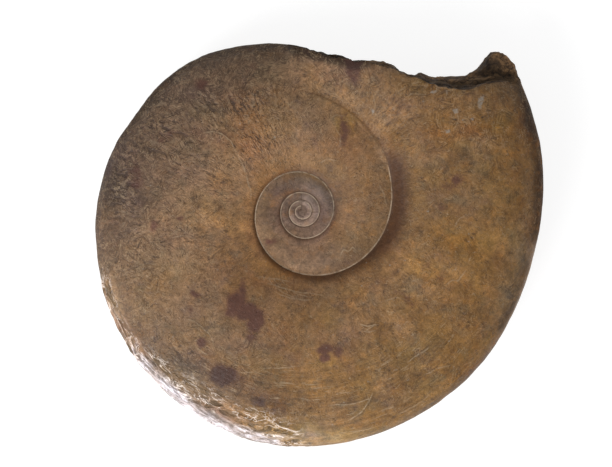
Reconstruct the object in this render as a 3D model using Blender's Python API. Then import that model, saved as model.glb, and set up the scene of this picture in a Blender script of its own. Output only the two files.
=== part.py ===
"""Ammonite fossil, an internal mould in brown limestone, lying on one flank.

The fossil is one natural piece of stone, so it is one object. It is a loft round the coil axis: each
radial section runs from the axis out over the visible part of every whorl, down round the venter (or down
the broken mouth), and back to the axis under the far flank. The sections differ all the way round, because
the umbilical seams lie on a spiral. The rows of the loft follow those seams, so each seam is a real crease.
Metres, +Z up. The origin is on the surface it rests on, under the centre of its footprint.
"""

import math

import bmesh
import bpy
import numpy as np

MM = 0.001

# ---------------------------------------------------------------- driving dimensions, in mm and degrees
COIL_AXIS = (-11.3, 22.65)  # where the coil axis stands, from the centre of the footprint
HALF_THICKNESS = 35.5  # of the last whorl at the mouth: the fossil is about 71 mm through there
THICKENING = 0.001093  # growth of the half thickness, per degree of coil: 1.48 times a turn
MOUTH = 1117.0  # coil angle where the whole whorl ends, and the break starts
START = 95.0  # plan angle where the last sliver of the outer whorl ends: the coil angle is 1175 there
LAST_WHORL = START + 720  # coil angle where the last whorl starts
REST_HEIGHT = 30.3  # height of the median plane over the coil axis
REST_SLOPE = (0.035, 0.006)  # its rise per mm along X and Y: the fossil is thicker at the mouth
RIDGE = 0.40  # where the flank is thickest, as a share of the whorl's height
FLANK_POWER, VENTER_POWER = 2.6, 2.2  # the superellipse from there down to the venter
SHOWING = 1.595  # height of a covered whorl, as a multiple of what shows of it

# Radius of the umbilical seam against coil angle, a quarter turn at a time.
SEAM = {-360: 3.3, -270: 3.9, -180: 4.6, -90: 5.6, 0: 6.8, 90: 7.3, 180: 8.6, 270: 10.3, 360: 12.2,
        450: 13.0, 540: 14.3, 630: 18.4, 720: 21.8, 810: 26.5, 900: 31.0, 990: 42.2, 1080: 59.2,
        1140: 71.5, 1175: 80.5}  # fmt: skip
# Radius of the venter against plan angle, from the sliver's end round to the mouth, then the missing venter
# that the broken flank still curves towards.
VENTER = {95: 112.6, 110: 118.3, 125: 124.8, 140: 128.1, 150: 129.0, 160: 132.9, 180: 138.1, 200: 142.6,
          220: 148.0, 240: 152.8, 260: 156.9, 280: 158.3, 300: 157.6, 320: 157.6, 340: 157.0, 360: 160.6,
          380: 167.1, 397: 174.2, 410: 176.0, 420: 170.0, 430: 155.0, 440: 135.0, 450: 118.0, 455: 113.0}  # fmt: skip
# The break: radius of the near flank's edge, and of the outline that the broken face comes down to.
BREAK_EDGE = {388: 168.5, 391: 166.0, 393: 156.5, 395: 145.6, 399: 131.9, 403: 125.5, 408: 118.8, 415: 113.0,
              425: 109.0, 432: 105.5, 440: 106.0, 450: 109.0, 455: 111.0}  # fmt: skip
BREAK_OUTLINE = {388: 169.6, 391: 171.6, 394: 174.0, 396: 173.0, 398: 169.5, 399: 162.0, 400: 143.0, 401.5: 136.0,
                 404: 129.5, 408: 124.3, 412: 117.6, 420: 115.4, 428: 109.0, 432: 107.2, 444: 107.9,
                 450: 110.6, 455: 112.6}  # fmt: skip
BROKEN_FROM, BROKEN_TO = 390.0, 451.0
# Down the broken face, from the flank's edge to its foot: how far, how far out, and how high.
LEDGE = ((0, 0.2, 0.6, 0.8, 1), (0, 0.12, 0.62, 0.96, 1), (1, 0.62, 0.46, 0.34, 0))
PLAIN_BREAK = ((0, 0.3, 0.6, 1), (0, 0.45, 0.8, 1), (1, 0.7, 0.4, 0))

# Umbilical wall against coil angle: its width, and the share of the step up that it makes.
WALL_WIDTH = {0: 1.0, 540: 1.6, 720: 2.6, 900: 2.0, 990: 5.5, 1060: 12.5, 1112: 12.5, 1125: 8.0, 1175: 6.0}
WALL_SHARE = {0: 0.5, 540: 0.45, 720: 0.4, 900: 0.25, 990: 0.5, 1060: 0.72, 1112: 0.70, 1125: 0.25, 1175: 0.25}
CREASE = 0.7  # depth of the crack along a seam

# ---------------------------------------------------------------- resolution of the loft
STEP, FINE_STEP, FINE_FROM, FINE_TO = 5.0, 1.5, 388.5, 405.0
BAND_ROWS = [((1.0,), (0.6,)), ((1.0,), (0.5,)), ((0.5, 1.0), (0.35, 0.7, 0.95))]
OUTER_ROWS = ((0.4, 1.0), (0.2, 0.42, 0.62, 0.82, 1.0))
RIM_ROWS = 5
ROUND_FROM = 0.80  # share of the way from ridge to venter where the flank's rows end


def curve_through(table):
    """A smooth function through a table of dimensions, which never overshoots between two of them."""
    x = np.array(list(table.keys()), float)
    y = np.array(list(table.values()), float)
    gap, slope = np.diff(x), np.diff(y) / np.diff(x)
    tangent = np.zeros_like(y)
    tangent[0], tangent[-1] = slope[0], slope[-1]
    for i in range(1, len(x) - 1):
        if slope[i - 1] * slope[i] > 0:
            a, b = 2 * gap[i] + gap[i - 1], gap[i] + 2 * gap[i - 1]
            tangent[i] = (a + b) / (a / slope[i - 1] + b / slope[i])

    def at(values):
        v = np.clip(np.asarray(values, float), x[0], x[-1])
        i = np.clip(np.searchsorted(x, v, side="right") - 1, 0, len(x) - 2)
        h = gap[i]
        t = (v - x[i]) / h
        return (
            (2 * t**3 - 3 * t**2 + 1) * y[i]
            + (t**3 - 2 * t**2 + t) * h * tangent[i]
            + (3 * t**2 - 2 * t**3) * y[i + 1]
            + (t**3 - t**2) * h * tangent[i + 1]
        )

    return at


seam = curve_through(SEAM)
venter = curve_through(VENTER)
edge_of_break = curve_through(BREAK_EDGE)
outline_of_break = curve_through(BREAK_OUTLINE)
wall_width = curve_through(WALL_WIDTH)
wall_share = curve_through(WALL_SHARE)


def ease(t):
    t = np.clip(t, 0.0, 1.0)
    return t * t * (3 - 2 * t)


def half_thickness(coil):
    """Of the whorl at its ridge. The last sliver, past the mouth, thins out onto the whorl under it."""
    whole = HALF_THICKNESS * np.exp(THICKENING * (np.minimum(coil, MOUTH) - MOUTH))
    return whole + (24.8 - whole) * ease((coil - MOUTH - 8) / 50)


def reach(coil):
    """Venter radius of the whorl at that coil angle, whether it is the last whorl or a covered one."""
    inner = seam(coil)
    return np.where(coil >= LAST_WHORL, venter(coil - 720), inner + SHOWING * (seam(coil + 360) - inner))


def flank_fall(coil, radius):
    """Share of its thickness that a whorl keeps at a radius outside its ridge."""
    ridge = seam(coil) + RIDGE * (reach(coil) - seam(coil))
    x = np.clip((radius - ridge) / (reach(coil) - ridge), 0, 1)
    return (1 - x**FLANK_POWER) ** (1 / VENTER_POWER)


def seam_height(coil):
    """Height at the inner seam of a whorl: that of the whorl inside it, less the crack between them."""
    return half_thickness(coil - 360) * flank_fall(coil - 360, seam(coil)) - CREASE


def broken(angle):
    """1 where the outline is the break, 0 where it is the venter."""
    return ease((angle - BROKEN_FROM) / 2.5) * (1 - ease((angle - BROKEN_TO) / 4.0))


def flank_height(coil, radius):
    """Half thickness at a radius on the whorl whose inner seam is at that coil angle."""
    inner, far = seam(coil), reach(coil)
    top, low = half_thickness(coil), seam_height(coil)
    width = wall_width(coil)
    shoulder = low + wall_share(coil) * (top - low)
    ridge = inner + RIDGE * (far - inner)
    u = np.clip((radius - inner) / width, 0, 1)
    q = np.clip((radius - inner - width) / (ridge - inner - width), 0, 1)
    rise = low + (shoulder - low) * u * (2 - u) + (top - shoulder) * q * (2 - q)
    return rise * flank_fall(coil, radius)


def median_height(x, y):
    return REST_HEIGHT + REST_SLOPE[0] * x + REST_SLOPE[1] * y


def band_rows(coil, wall, flank, edge):
    """Rows on one whorl: its inner seam, its umbilical wall, and its flank out to edge."""
    inner = seam(coil)
    width = wall_width(coil)
    rows = [(inner, seam_height(coil))]
    for radius in [inner + width * u for u in wall] + [
        inner + width + (edge - inner - width) * q for q in flank
    ]:
        rows.append((radius, flank_height(coil, radius)))
    return rows


def rows_of(angle, edge):
    """The rows of the loft from the coil axis out to the edge of the flank, as (radius, half thickness),
    each an array over the plan angles. The first is the innermost seam."""
    rows = []
    for turns, (wall, flank) in zip((3, 2, 1), BAND_ROWS, strict=True):
        coil = angle + 720 - 360 * turns
        rows += band_rows(coil, wall, flank, seam(coil + 360))
    return rows + band_rows(angle + 720, *OUTER_ROWS, edge)


def rim_rows(angle, edge, face):
    """From the flank's edge down to the median plane: round the venter, or down the broken face, which
    stands back in a ledge near the outer corner of the mouth. face is +1 on the near side, -1 on the far."""
    far, w = venter(angle), broken(angle)
    coil = angle + 720
    ridge = seam(coil) + RIDGE * (far - seam(coil))
    top = half_thickness(coil)
    height = flank_height(coil, edge)
    foot = outline_of_break(angle)
    rows = []
    first = math.asin(ROUND_FROM ** (FLANK_POWER / 2))
    for k in range(1, RIM_ROWS + 1):
        t = k / RIM_ROWS
        a = first + (math.pi / 2 - first) * t
        round_r = ridge + (far - ridge) * math.sin(a) ** (2 / FLANK_POWER)
        round_h = top * max(math.cos(a), 0.0) ** (2 / VENTER_POWER)
        steps, out, down = LEDGE if face > 0 else PLAIN_BREAK
        broken_r = edge + (foot - edge) * np.interp(t, steps, out)
        broken_h = height * np.interp(t, steps, down)
        rows.append((round_r * (1 - w) + broken_r * w, round_h * (1 - w) + broken_h * w))
    return rows


def plan_angles():
    """From the sliver's end once round to just short of it, finer where the outline turns sharply."""
    angles, a = [], START
    while a < START + 360 - 0.5:
        angles.append(a)
        a += FINE_STEP if FINE_FROM <= a < FINE_TO else STEP
    return np.array(angles)


def place(angle, radius, height, side):
    """Points of a row, in metres: side is +1 for the near flank and -1 for the far one."""
    a = np.radians(angle)
    x, y = radius * np.cos(a), radius * np.sin(a)
    z = median_height(x, y) + side * height
    return np.stack([x + COIL_AXIS[0], y + COIL_AXIS[1], np.maximum(z, 0.0)], axis=-1) * MM


def zip_sections(bm, left, right):
    """Faces between two sections whose rows don't match one to one, nearest radius first."""
    centre = left[0].co.xy

    def out(v):
        return (v.co.xy - centre).length

    i = j = 0
    while i < len(left) - 1 or j < len(right) - 1:
        if j == len(right) - 1 or (i < len(left) - 1 and out(left[i + 1]) <= out(right[j + 1])):
            corners, i = (left[i], left[i + 1], right[j]), i + 1
        else:
            corners, j = (left[i], right[j + 1], right[j]), j + 1
        if len(set(corners)) == 3:
            bm.faces.new(corners)


def build_ammonite(name, collection):
    angle = plan_angles()
    far, w = venter(angle), broken(angle)
    ridge = seam(angle + 720) + RIDGE * (far - seam(angle + 720))
    whole = ridge + ROUND_FROM * (far - ridge)
    edge = {1: whole * (1 - w) + edge_of_break(angle) * w}
    # On the far side the flank reaches nearly to the outline of the break.
    edge[-1] = whole * (1 - w) + (outline_of_break(angle) - 1.5) * w
    near = rows_of(angle, edge[1]) + rim_rows(angle, edge[1], +1)
    far_side = rows_of(angle, edge[-1]) + rim_rows(angle, edge[-1], -1)[:-1]

    bm = bmesh.new()
    centre = np.zeros(1)
    core = half_thickness(-360.0) * 0.9
    poles = [bm.verts.new(place(centre, centre, np.full(1, core), side)[0]) for side in (1, -1)]
    rows = {}
    for side, table in ((1, near), (-1, far_side)):
        rows[side] = [[bm.verts.new(p) for p in place(angle, r, h, side)] for r, h in table]
    n = len(angle)
    for side, pole in zip((1, -1), poles, strict=True):
        for i in range(n - 1):
            bm.faces.new((pole, rows[side][0][i], rows[side][0][i + 1]))
        for low, high in zip(rows[side][:-1], rows[side][1:]):
            for i in range(n - 1):
                bm.faces.new((low[i], high[i], high[i + 1], low[i + 1]))
    for i in range(n - 1):
        bm.faces.new((rows[1][-1][i], rows[-1][-1][i], rows[-1][-1][i + 1], rows[1][-1][i + 1]))
    # The last gap, where the spiral has moved on by one whorl. Its rim rows match one to one.
    rim = {1: RIM_ROWS, -1: RIM_ROWS - 1}
    for side, pole in zip((1, -1), poles, strict=True):
        stop = len(rows[side]) - rim[side]
        zip_sections(
            bm,
            [pole] + [row[-1] for row in rows[side][:stop]],
            [pole] + [row[0] for row in rows[side][:stop]],
        )
        for low, high in zip(rows[side][stop - 1 : -1], rows[side][stop:]):
            bm.faces.new((low[-1], high[-1], high[0], low[0]))
    bm.faces.new((rows[1][-1][-1], rows[-1][-1][-1], rows[-1][-1][0], rows[1][-1][0]))
    bmesh.ops.triangulate(bm, faces=bm.faces[:])
    bmesh.ops.recalc_face_normals(bm, faces=bm.faces[:])
    mesh = bpy.data.meshes.new(name)
    bm.to_mesh(mesh)
    bm.free()
    mesh.shade_smooth()
    mesh.set_sharp_from_angle(angle=math.radians(38))
    obj = bpy.data.objects.new(name, mesh)
    collection.objects.link(obj)
    return obj


def stone_material():
    material = bpy.data.materials.new("limestone_mould")
    material.use_nodes = True
    shader = material.node_tree.nodes["Principled BSDF"]
    shader.inputs["Base Color"].default_value = (0.205, 0.122, 0.062, 1.0)
    shader.inputs["Roughness"].default_value = 0.45
    shader.inputs["Metallic"].default_value = 0.0
    return material


for old in list(bpy.data.objects):
    bpy.data.objects.remove(old)
parts = bpy.data.collections.new("ammonite_fossil")
bpy.context.scene.collection.children.link(parts)
ammonite = build_ammonite("ammonite", parts)
ammonite.data.materials.append(stone_material())
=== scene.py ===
"""Looks for the ammonite fossil: a fine mesh of the mould with its relief, and a node-based stone material.

The fine mesh is the same loft as the CAD solid, at many times its resolution: sections round the coil axis,
whose rows follow the umbilical seams. Relief goes on along the normals, and masks for the material go into
mesh attributes. Everything is in millimetres and degrees until the mesh is made.
"""

import math

import bmesh
import bpy
import numpy as np
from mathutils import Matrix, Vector


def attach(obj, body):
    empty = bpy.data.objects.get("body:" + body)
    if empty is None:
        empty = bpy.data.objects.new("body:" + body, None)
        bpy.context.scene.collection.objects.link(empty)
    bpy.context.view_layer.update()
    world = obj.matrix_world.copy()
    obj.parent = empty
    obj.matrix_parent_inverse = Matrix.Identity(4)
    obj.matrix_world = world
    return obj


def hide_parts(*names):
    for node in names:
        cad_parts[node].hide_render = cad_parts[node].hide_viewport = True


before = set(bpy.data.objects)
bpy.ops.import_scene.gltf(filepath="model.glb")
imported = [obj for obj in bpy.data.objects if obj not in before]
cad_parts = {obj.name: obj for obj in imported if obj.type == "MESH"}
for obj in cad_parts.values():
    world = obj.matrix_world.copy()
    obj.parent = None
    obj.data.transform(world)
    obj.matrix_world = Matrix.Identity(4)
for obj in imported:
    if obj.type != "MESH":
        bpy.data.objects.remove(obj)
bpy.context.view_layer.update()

MM = 0.001
# ------------------------------------------------------------------ the construction's own dimensions
COIL_AXIS = (-11.3, 22.65)
HALF_THICKNESS = 35.5
THICKENING = 0.001093
MOUTH = 1117.0
START = 95.0
LAST_WHORL = START + 720
REST_HEIGHT = 30.3
REST_SLOPE = (0.035, 0.006)
RIDGE = 0.40
FLANK_POWER, VENTER_POWER = 2.6, 2.2
SHOWING = 1.595
CREASE = 0.7
ROUND_FROM = 0.80
SEAM = {-720: 0.8, -630: 1.1, -540: 1.7, -450: 2.4, -360: 3.2, -270: 3.9, -180: 4.6, -90: 5.6, 0: 6.8, 90: 7.3, 180: 8.6, 270: 10.3, 360: 12.2,
        450: 13.0, 540: 14.3, 630: 18.4, 720: 21.8, 810: 26.5, 900: 31.0, 990: 42.2, 1080: 59.2,
        1140: 71.5, 1175: 80.5}  # fmt: skip
VENTER = {95: 112.6, 110: 118.3, 125: 124.8, 140: 128.1, 150: 129.0, 160: 132.9, 180: 138.1, 200: 142.6,
          220: 148.0, 240: 152.8, 260: 156.9, 280: 158.3, 300: 157.6, 320: 157.6, 340: 157.0, 360: 160.6,
          380: 166.8, 388: 169.3, 397: 172.6, 410: 174.5, 420: 170.0, 430: 155.0, 440: 135.0, 450: 118.0, 455: 113.0}  # fmt: skip
BREAK_EDGE = {388: 168.5, 391: 165.5, 393: 156.0, 395: 145.8, 397: 137.0, 399: 128.8, 402: 122.2, 405: 118.6, 408: 116.2, 412: 113.0,
              415: 111.6, 425: 108.0, 432: 104.5, 440: 104.2, 450: 108.6, 455: 111.0}  # fmt: skip
BREAK_OUTLINE = {388: 168.6, 390: 169.7, 392.3: 171.0, 394.3: 171.9, 395.6: 172.9, 396.6: 171.6, 397.4: 169.4, 398: 166.9, 398.8: 161.0,
                 399.6: 155.2, 400.1: 151.2, 400.7: 146.9, 401.5: 141.5, 402.3: 136.6, 403.5: 131.2, 406.5: 124.6, 408.8: 121.6,
                 411: 117.2, 413: 115.0, 420: 114.6, 428: 108.0, 432: 106.2, 444: 107.0, 450: 110.2, 455: 112.6}  # fmt: skip
KNOB_LEAN = ((118, 128, 136, 141, 146.4, 150.7, 154.7, 157.5, 160.5, 166.2), (0, -0.6, -1.4, -1.6, -1.24, -1.2, -0.9, -0.15, 0.95, 1.98))
BROKEN_FROM, BROKEN_TO = 390.0, 451.0
WALL_WIDTH = {0: 1.0, 540: 1.6, 720: 2.6, 900: 2.0, 990: 5.5, 1060: 12.5, 1112: 12.5, 1125: 8.0, 1175: 6.0}
WALL_SHARE = {0: 0.5, 540: 0.45, 720: 0.4, 900: 0.25, 990: 0.5, 1060: 0.72, 1112: 0.70, 1125: 0.25, 1175: 0.25}
LEDGE = ((0, 0.2, 0.6, 0.8, 1), (0, 0.12, 0.62, 0.96, 1), (1, 0.62, 0.46, 0.34, 0))
PLAIN_BREAK = ((0, 0.3, 0.6, 1), (0, 0.45, 0.8, 1), (1, 0.7, 0.4, 0))

# ------------------------------------------------------------------ resolution
# Each strip is one turn of the coil: sections a turn, rows on the umbilical wall, rows on the flank.
NEAR = [(88, 1, 5), (176, 2, 8), (176, 4, 16), (352, 4, 29)]
NEAR_LAST = (704, 6, 52, 26)  # and rows from the flank's edge down to the median plane
FAR = [(88, 1, 3), (88, 2, 3), (176, 2, 6), (176, 3, 14)]
FAR_LAST = (352, 4, 28, 15)


# ------------------------------------------------------------------ numbers
def curve_through(table):
    x = np.array(list(table.keys()), float)
    y = np.array(list(table.values()), float)
    gap, slope = np.diff(x), np.diff(y) / np.diff(x)
    tangent = np.zeros_like(y)
    tangent[0], tangent[-1] = slope[0], slope[-1]
    for i in range(1, len(x) - 1):
        if slope[i - 1] * slope[i] > 0:
            a, b = 2 * gap[i] + gap[i - 1], gap[i] + 2 * gap[i - 1]
            tangent[i] = (a + b) / (a / slope[i - 1] + b / slope[i])

    def at(values):
        v = np.clip(np.asarray(values, float), x[0], x[-1])
        i = np.clip(np.searchsorted(x, v, side="right") - 1, 0, len(x) - 2)
        h = gap[i]
        t = (v - x[i]) / h
        return (
            (2 * t**3 - 3 * t**2 + 1) * y[i]
            + (t**3 - 2 * t**2 + t) * h * tangent[i]
            + (3 * t**2 - 2 * t**3) * y[i + 1]
            + (t**3 - t**2) * h * tangent[i + 1]
        )

    return at


def smooth(low, high, value):
    t = np.clip((value - low) / (high - low), 0.0, 1.0)
    return t * t * (3 - 2 * t)


class Noise:
    """Gradient noise on a lattice of unit cells, from -1 to 1. p is (n, 3)."""

    def __init__(self, seed):
        rng = np.random.default_rng(seed)
        self.table = rng.permutation(256)
        g = rng.normal(size=(256, 3))
        self.gradient = g / np.linalg.norm(g, axis=1)[:, None]

    def __call__(self, p):
        cell = np.floor(p).astype(int)
        f = p - cell
        u = f * f * f * (f * (f * 6 - 15) + 10)
        total = np.zeros(len(p))
        for corner in range(8):
            c = np.array([corner & 1, corner >> 1 & 1, corner >> 2 & 1])
            k = (cell + c) & 255
            h = self.table[(self.table[(self.table[k[:, 0]] + k[:, 1]) & 255] + k[:, 2]) & 255]
            weight = np.prod(np.where(c == 1, u, 1 - u), axis=1)
            total += weight * np.einsum("ij,ij->i", self.gradient[h], f - c)
        return total * 1.5

    def layers(self, p, octaves, gain=0.5):
        total, size, reach_of_all = np.zeros(len(p)), 1.0, 0.0
        for k in range(octaves):
            total += size * self(p * 2.03**k + 17.3 * k)
            reach_of_all += size
            size *= gain
        return total / reach_of_all


# ------------------------------------------------------------------ the mould's own law
seam = curve_through(SEAM)
venter = curve_through(VENTER)
edge_of_break = curve_through(BREAK_EDGE)
outline_of_break = curve_through(BREAK_OUTLINE)
wall_width = curve_through(WALL_WIDTH)
wall_share = curve_through(WALL_SHARE)


def half_thickness(coil):
    whole = HALF_THICKNESS * np.exp(THICKENING * (np.minimum(coil, MOUTH) - MOUTH))
    return whole + (24.8 - whole) * smooth(0, 50, coil - MOUTH - 8)


def reach(coil):
    inner = seam(coil)
    return np.where(coil >= LAST_WHORL, venter(coil - 720), inner + SHOWING * (seam(coil + 360) - inner))


def flank_fall(coil, radius):
    ridge = seam(coil) + RIDGE * (reach(coil) - seam(coil))
    x = np.clip((radius - ridge) / (reach(coil) - ridge), 0, 1)
    return (1 - x**FLANK_POWER) ** (1 / VENTER_POWER)


def seam_height(coil):
    return half_thickness(coil - 360) * flank_fall(coil - 360, seam(coil)) - CREASE


def broken(angle):
    return smooth(0, 2.5, angle - BROKEN_FROM) * (1 - smooth(0, 4.0, angle - BROKEN_TO))


def flank_height(coil, radius):
    inner, far = seam(coil), reach(coil)
    top, low = half_thickness(coil), seam_height(coil)
    width = wall_width(coil)
    shoulder = low + wall_share(coil) * (top - low)
    ridge = inner + RIDGE * (far - inner)
    u = np.clip((radius - inner) / width, 0, 1)
    q = np.clip((radius - inner - width) / (ridge - inner - width), 0, 1)
    rise = low + (shoulder - low) * u * (2 - u) + (top - shoulder) * q * (2 - q)
    return rise * flank_fall(coil, radius)


def spread(radius, height, shares):
    """Points at those shares of the length of each section, from dense samples of it. radius and height are
    (samples, sections). Returns the same two for the points."""
    step = np.hypot(np.diff(radius, axis=0), np.diff(height, axis=0))
    run = np.vstack([np.zeros(radius.shape[1]), np.cumsum(step, axis=0)])
    r = np.empty((len(shares), radius.shape[1]))
    h = np.empty_like(r)
    for i in range(radius.shape[1]):
        want = shares * run[-1, i]
        r[:, i] = np.interp(want, run[:, i], radius[:, i])
        h[:, i] = np.interp(want, run[:, i], height[:, i])
    return r, h


def strip_rows(coil, edge, wall_rows, flank_rows, close_to_edge):
    """Rows on one turn, from its seam out to edge, as lists of (radius, height)."""
    inner, width = seam(coil), wall_width(coil)
    dense = np.linspace(0, 1, 160)[:, None]
    r = inner + width * dense
    wall = spread(r, flank_height(coil, r), np.linspace(0, 1, wall_rows + 1) ** 1.3)
    r = inner + width + (edge - inner - width) * dense
    q = np.linspace(0, 1, flank_rows + 1)
    if close_to_edge:
        q = 1 - (1 - q) ** close_to_edge
    flank = spread(r, flank_height(coil, r), q)
    rows = [(inner, seam_height(coil))]
    rows += list(zip(wall[0][1:], wall[1][1:], strict=True))
    rows += list(zip(flank[0][1:], flank[1][1:], strict=True))
    return rows


def rim_section(angle, edge, height_at_edge, face, rows):
    """Rows from the flank's edge down to the median plane."""
    far, w = venter(angle), broken(angle)
    far = np.where(angle > 446, np.minimum(far, outline_of_break(angle)), far)
    coil = angle + 720
    ridge = seam(coil) + RIDGE * (far - seam(coil))
    top = half_thickness(coil)
    first = math.asin(ROUND_FROM ** (FLANK_POWER / 2))
    t = np.linspace(0, 1, 240)[:, None]
    a = first + (math.pi / 2 - first) * t
    round_r = ridge + (far - ridge) * np.sin(a) ** (2 / FLANK_POWER)
    round_h = top * np.maximum(np.cos(a), 0.0) ** (2 / VENTER_POWER)
    steps, out, down = LEDGE if face > 0 else PLAIN_BREAK
    foot = outline_of_break(angle)
    broken_r = edge + (foot - edge) * np.interp(t, steps, out)
    broken_h = height_at_edge * np.interp(t, steps, down)
    r, h = spread(
        round_r * (1 - w) + broken_r * w,
        round_h * (1 - w) + broken_h * w,
        np.linspace(0, 1, rows + 1),
    )
    return list(zip(r[1:], h[1:], strict=True))


# ------------------------------------------------------------------ the fine mesh
class Loft:
    def __init__(self):
        self.points, self.faces, self.marks = [], [], []
        self.count = 0

    def row(self, angle, radius, height, side, coil):
        """Adds a row of points and returns (first index, angles)."""
        a = np.radians(angle)
        x, y = radius * np.cos(a), radius * np.sin(a)
        z = REST_HEIGHT + REST_SLOPE[0] * x + REST_SLOPE[1] * y + side * height
        self.points.append(np.stack([x, y, z], axis=1))
        n = len(x)
        self.marks.append(
            np.stack([np.full(n, side), np.broadcast_to(coil, (n,)), radius, height, angle], axis=1)
        )
        start, self.count = self.count, self.count + n
        return np.arange(start, start + n), np.asarray(angle, float)

    def between(self, low, high):
        """Faces between two rows that run round the axis, which may differ in resolution."""
        (a, angle_a), (b, angle_b) = low, high
        if len(a) == len(b):
            self.faces += np.stack([a[:-1], b[:-1], b[1:], a[1:]], axis=1).tolist()
            return
        i = j = 0
        while i < len(a) - 1 or j < len(b) - 1:
            if j == len(b) - 1 or (i < len(a) - 1 and angle_a[i + 1] <= angle_b[j + 1] + 1e-9):
                self.faces.append([int(a[i]), int(b[j]), int(a[i + 1])])
                i += 1
            else:
                self.faces.append([int(a[i]), int(b[j]), int(b[j + 1])])
                j += 1


def sections(n):
    return START + np.arange(n) * 360.0 / n


def side_rows(loft, side, strips, last, edge_at, skip_median):
    """All rows of one side from the axis outwards."""
    rows = []
    turns = (4, 3, 2, 1)
    for turn, (n, wall_rows, flank_rows) in zip(turns, strips, strict=True):
        angle = sections(n)
        coil = angle + 720 - 360 * turn
        close = 1.25 if turn == 1 else 1.7
        made = strip_rows(coil, seam(coil + 360), wall_rows, flank_rows, close)[:-1]
        rows += [loft.row(angle, r, h, side, coil) for r, h in made]
    n, wall_rows, flank_rows, rim_rows = last
    angle = sections(n)
    coil = angle + 720
    edge = edge_at(angle)
    made = strip_rows(coil, edge, wall_rows, flank_rows, 0)
    made += rim_section(angle, edge, flank_height(coil, edge), side, rim_rows)
    if skip_median:
        made = made[:-1]
    made = [(np.broadcast_to(r, angle.shape), np.broadcast_to(h, angle.shape)) for r, h in made]
    start_r = np.array([r[0] for r, h in made])
    start_h = np.array([h[0] for r, h in made])
    for r, h in made:
        # The last whorl's torn end thins out onto the whorl that it started as.
        step = np.interp(r[-1], start_r, start_h) - h[-1]
        rows.append(loft.row(angle, r, h + step * smooth(1144, 1174.5, coil), side, coil))
    return rows


def edge_near(angle):
    far, w = venter(angle), broken(angle)
    ridge = seam(angle + 720) + RIDGE * (far - seam(angle + 720))
    ragged = Noise(41).layers(np.stack([angle * 0.7, 0 * angle, 0 * angle], axis=1), 4, 0.7)
    return (ridge + ROUND_FROM * (far - ridge)) * (1 - w) + (edge_of_break(angle) + 2.4 * ragged) * w


def edge_far(angle):
    far, w = venter(angle), broken(angle)
    ridge = seam(angle + 720) + RIDGE * (far - seam(angle + 720))
    ragged = Noise(43).layers(np.stack([angle * 0.45, 0 * angle, 0 * angle], axis=1), 3, 0.6)
    return (ridge + ROUND_FROM * (far - ridge)) * (1 - w) + (outline_of_break(angle) - 2.5 + 1.2 * ragged) * w


def zip_sections(faces, points, left, right):
    """Triangles between two sections, each a list of point numbers from the axis outwards."""
    reach_of = np.cumsum
    a = np.concatenate([[0], reach_of(np.linalg.norm(np.diff(points[left], axis=0), axis=1))])
    b = np.concatenate([[0], reach_of(np.linalg.norm(np.diff(points[right], axis=0), axis=1))])
    a, b = a / a[-1], b / b[-1]
    i = j = 0
    while i < len(left) - 1 or j < len(right) - 1:
        if j == len(right) - 1 or (i < len(left) - 1 and a[i + 1] <= b[j + 1]):
            corners = [left[i], left[i + 1], right[j]]
            i += 1
        else:
            corners = [left[i], right[j + 1], right[j]]
            j += 1
        if len(set(corners)) == 3:
            faces.append([int(c) for c in corners])


def build_loft():
    loft = Loft()
    near = side_rows(loft, 1, NEAR, NEAR_LAST, edge_near, False)
    far = side_rows(loft, -1, FAR, FAR_LAST, edge_far, True)
    core = float(half_thickness(np.array(-360.0))) * 0.9
    poles = []
    for side in (1, -1):
        ids, _ = loft.row(np.zeros(1), np.zeros(1), np.full(1, core), side, np.full(1, -360.0))
        poles.append(int(ids[0]))
    for low, high in zip(near[:-1], near[1:], strict=True):
        loft.between(low, high)
    for low, high in zip(far[:-1], far[1:], strict=True):
        loft.between(low, high)
    loft.between(far[-1], near[-1])
    points = np.vstack(loft.points)
    marks = np.vstack(loft.marks)
    faces = loft.faces
    for rows, pole in ((near, poles[0]), (far, poles[1])):
        ids = rows[0][0]
        faces += [[pole, int(ids[k]), int(ids[k + 1])] for k in range(len(ids) - 1)]
    # The gap where the spiral has moved on by one whorl: each turn's end meets the next turn's start.
    counts = [[n_wall + n_flank for _, n_wall, n_flank in strips] for strips in (NEAR, FAR)]
    median = near[-1][0]
    for rows, of_strips, pole in ((near, counts[0], poles[0]), (far, counts[1], poles[1])):
        left = [int(r[0][-1]) for r in rows]
        right = [int(r[0][0]) for r in rows]
        if rows is far:
            left.append(int(median[-1]))
            right.append(int(median[0]))
        first = np.cumsum([0] + of_strips)
        k = len(first) - 1
        faces.append([pole, right[0], left[0]])
        faces += [[left[0], right[n], right[n + 1]] for n in range(first[1])]
        for n in range(k - 1):
            a, b = left[first[n] : first[n + 1] + 1], right[first[n + 1] : first[n + 2] + 1]
            zip_sections(faces, points, np.array(a), np.array(b))
        reach_of = np.hypot(points[right, 0], points[right, 1])
        torn = math.hypot(*points[left[first[k]], :2])
        meet = first[k] + 1 + int(np.argmin(np.abs(reach_of[first[k] + 1 : first[k] + 40] - torn)))
        zip_sections(faces, points, np.array(left[first[k - 1] : first[k] + 1]), np.array(right[first[k] : meet + 1]))
        zip_sections(faces, points, np.array(left[first[k] :]), np.array(right[meet:]))
    return points, marks, faces


def mesh_of(points, faces):
    mesh = bpy.data.meshes.new("ammonite_stone")
    mesh.from_pydata(points.tolist(), [], faces)
    bm = bmesh.new()
    bm.from_mesh(mesh)
    bmesh.ops.recalc_face_normals(bm, faces=bm.faces[:])
    bm.to_mesh(mesh)
    bm.free()
    return mesh


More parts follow.
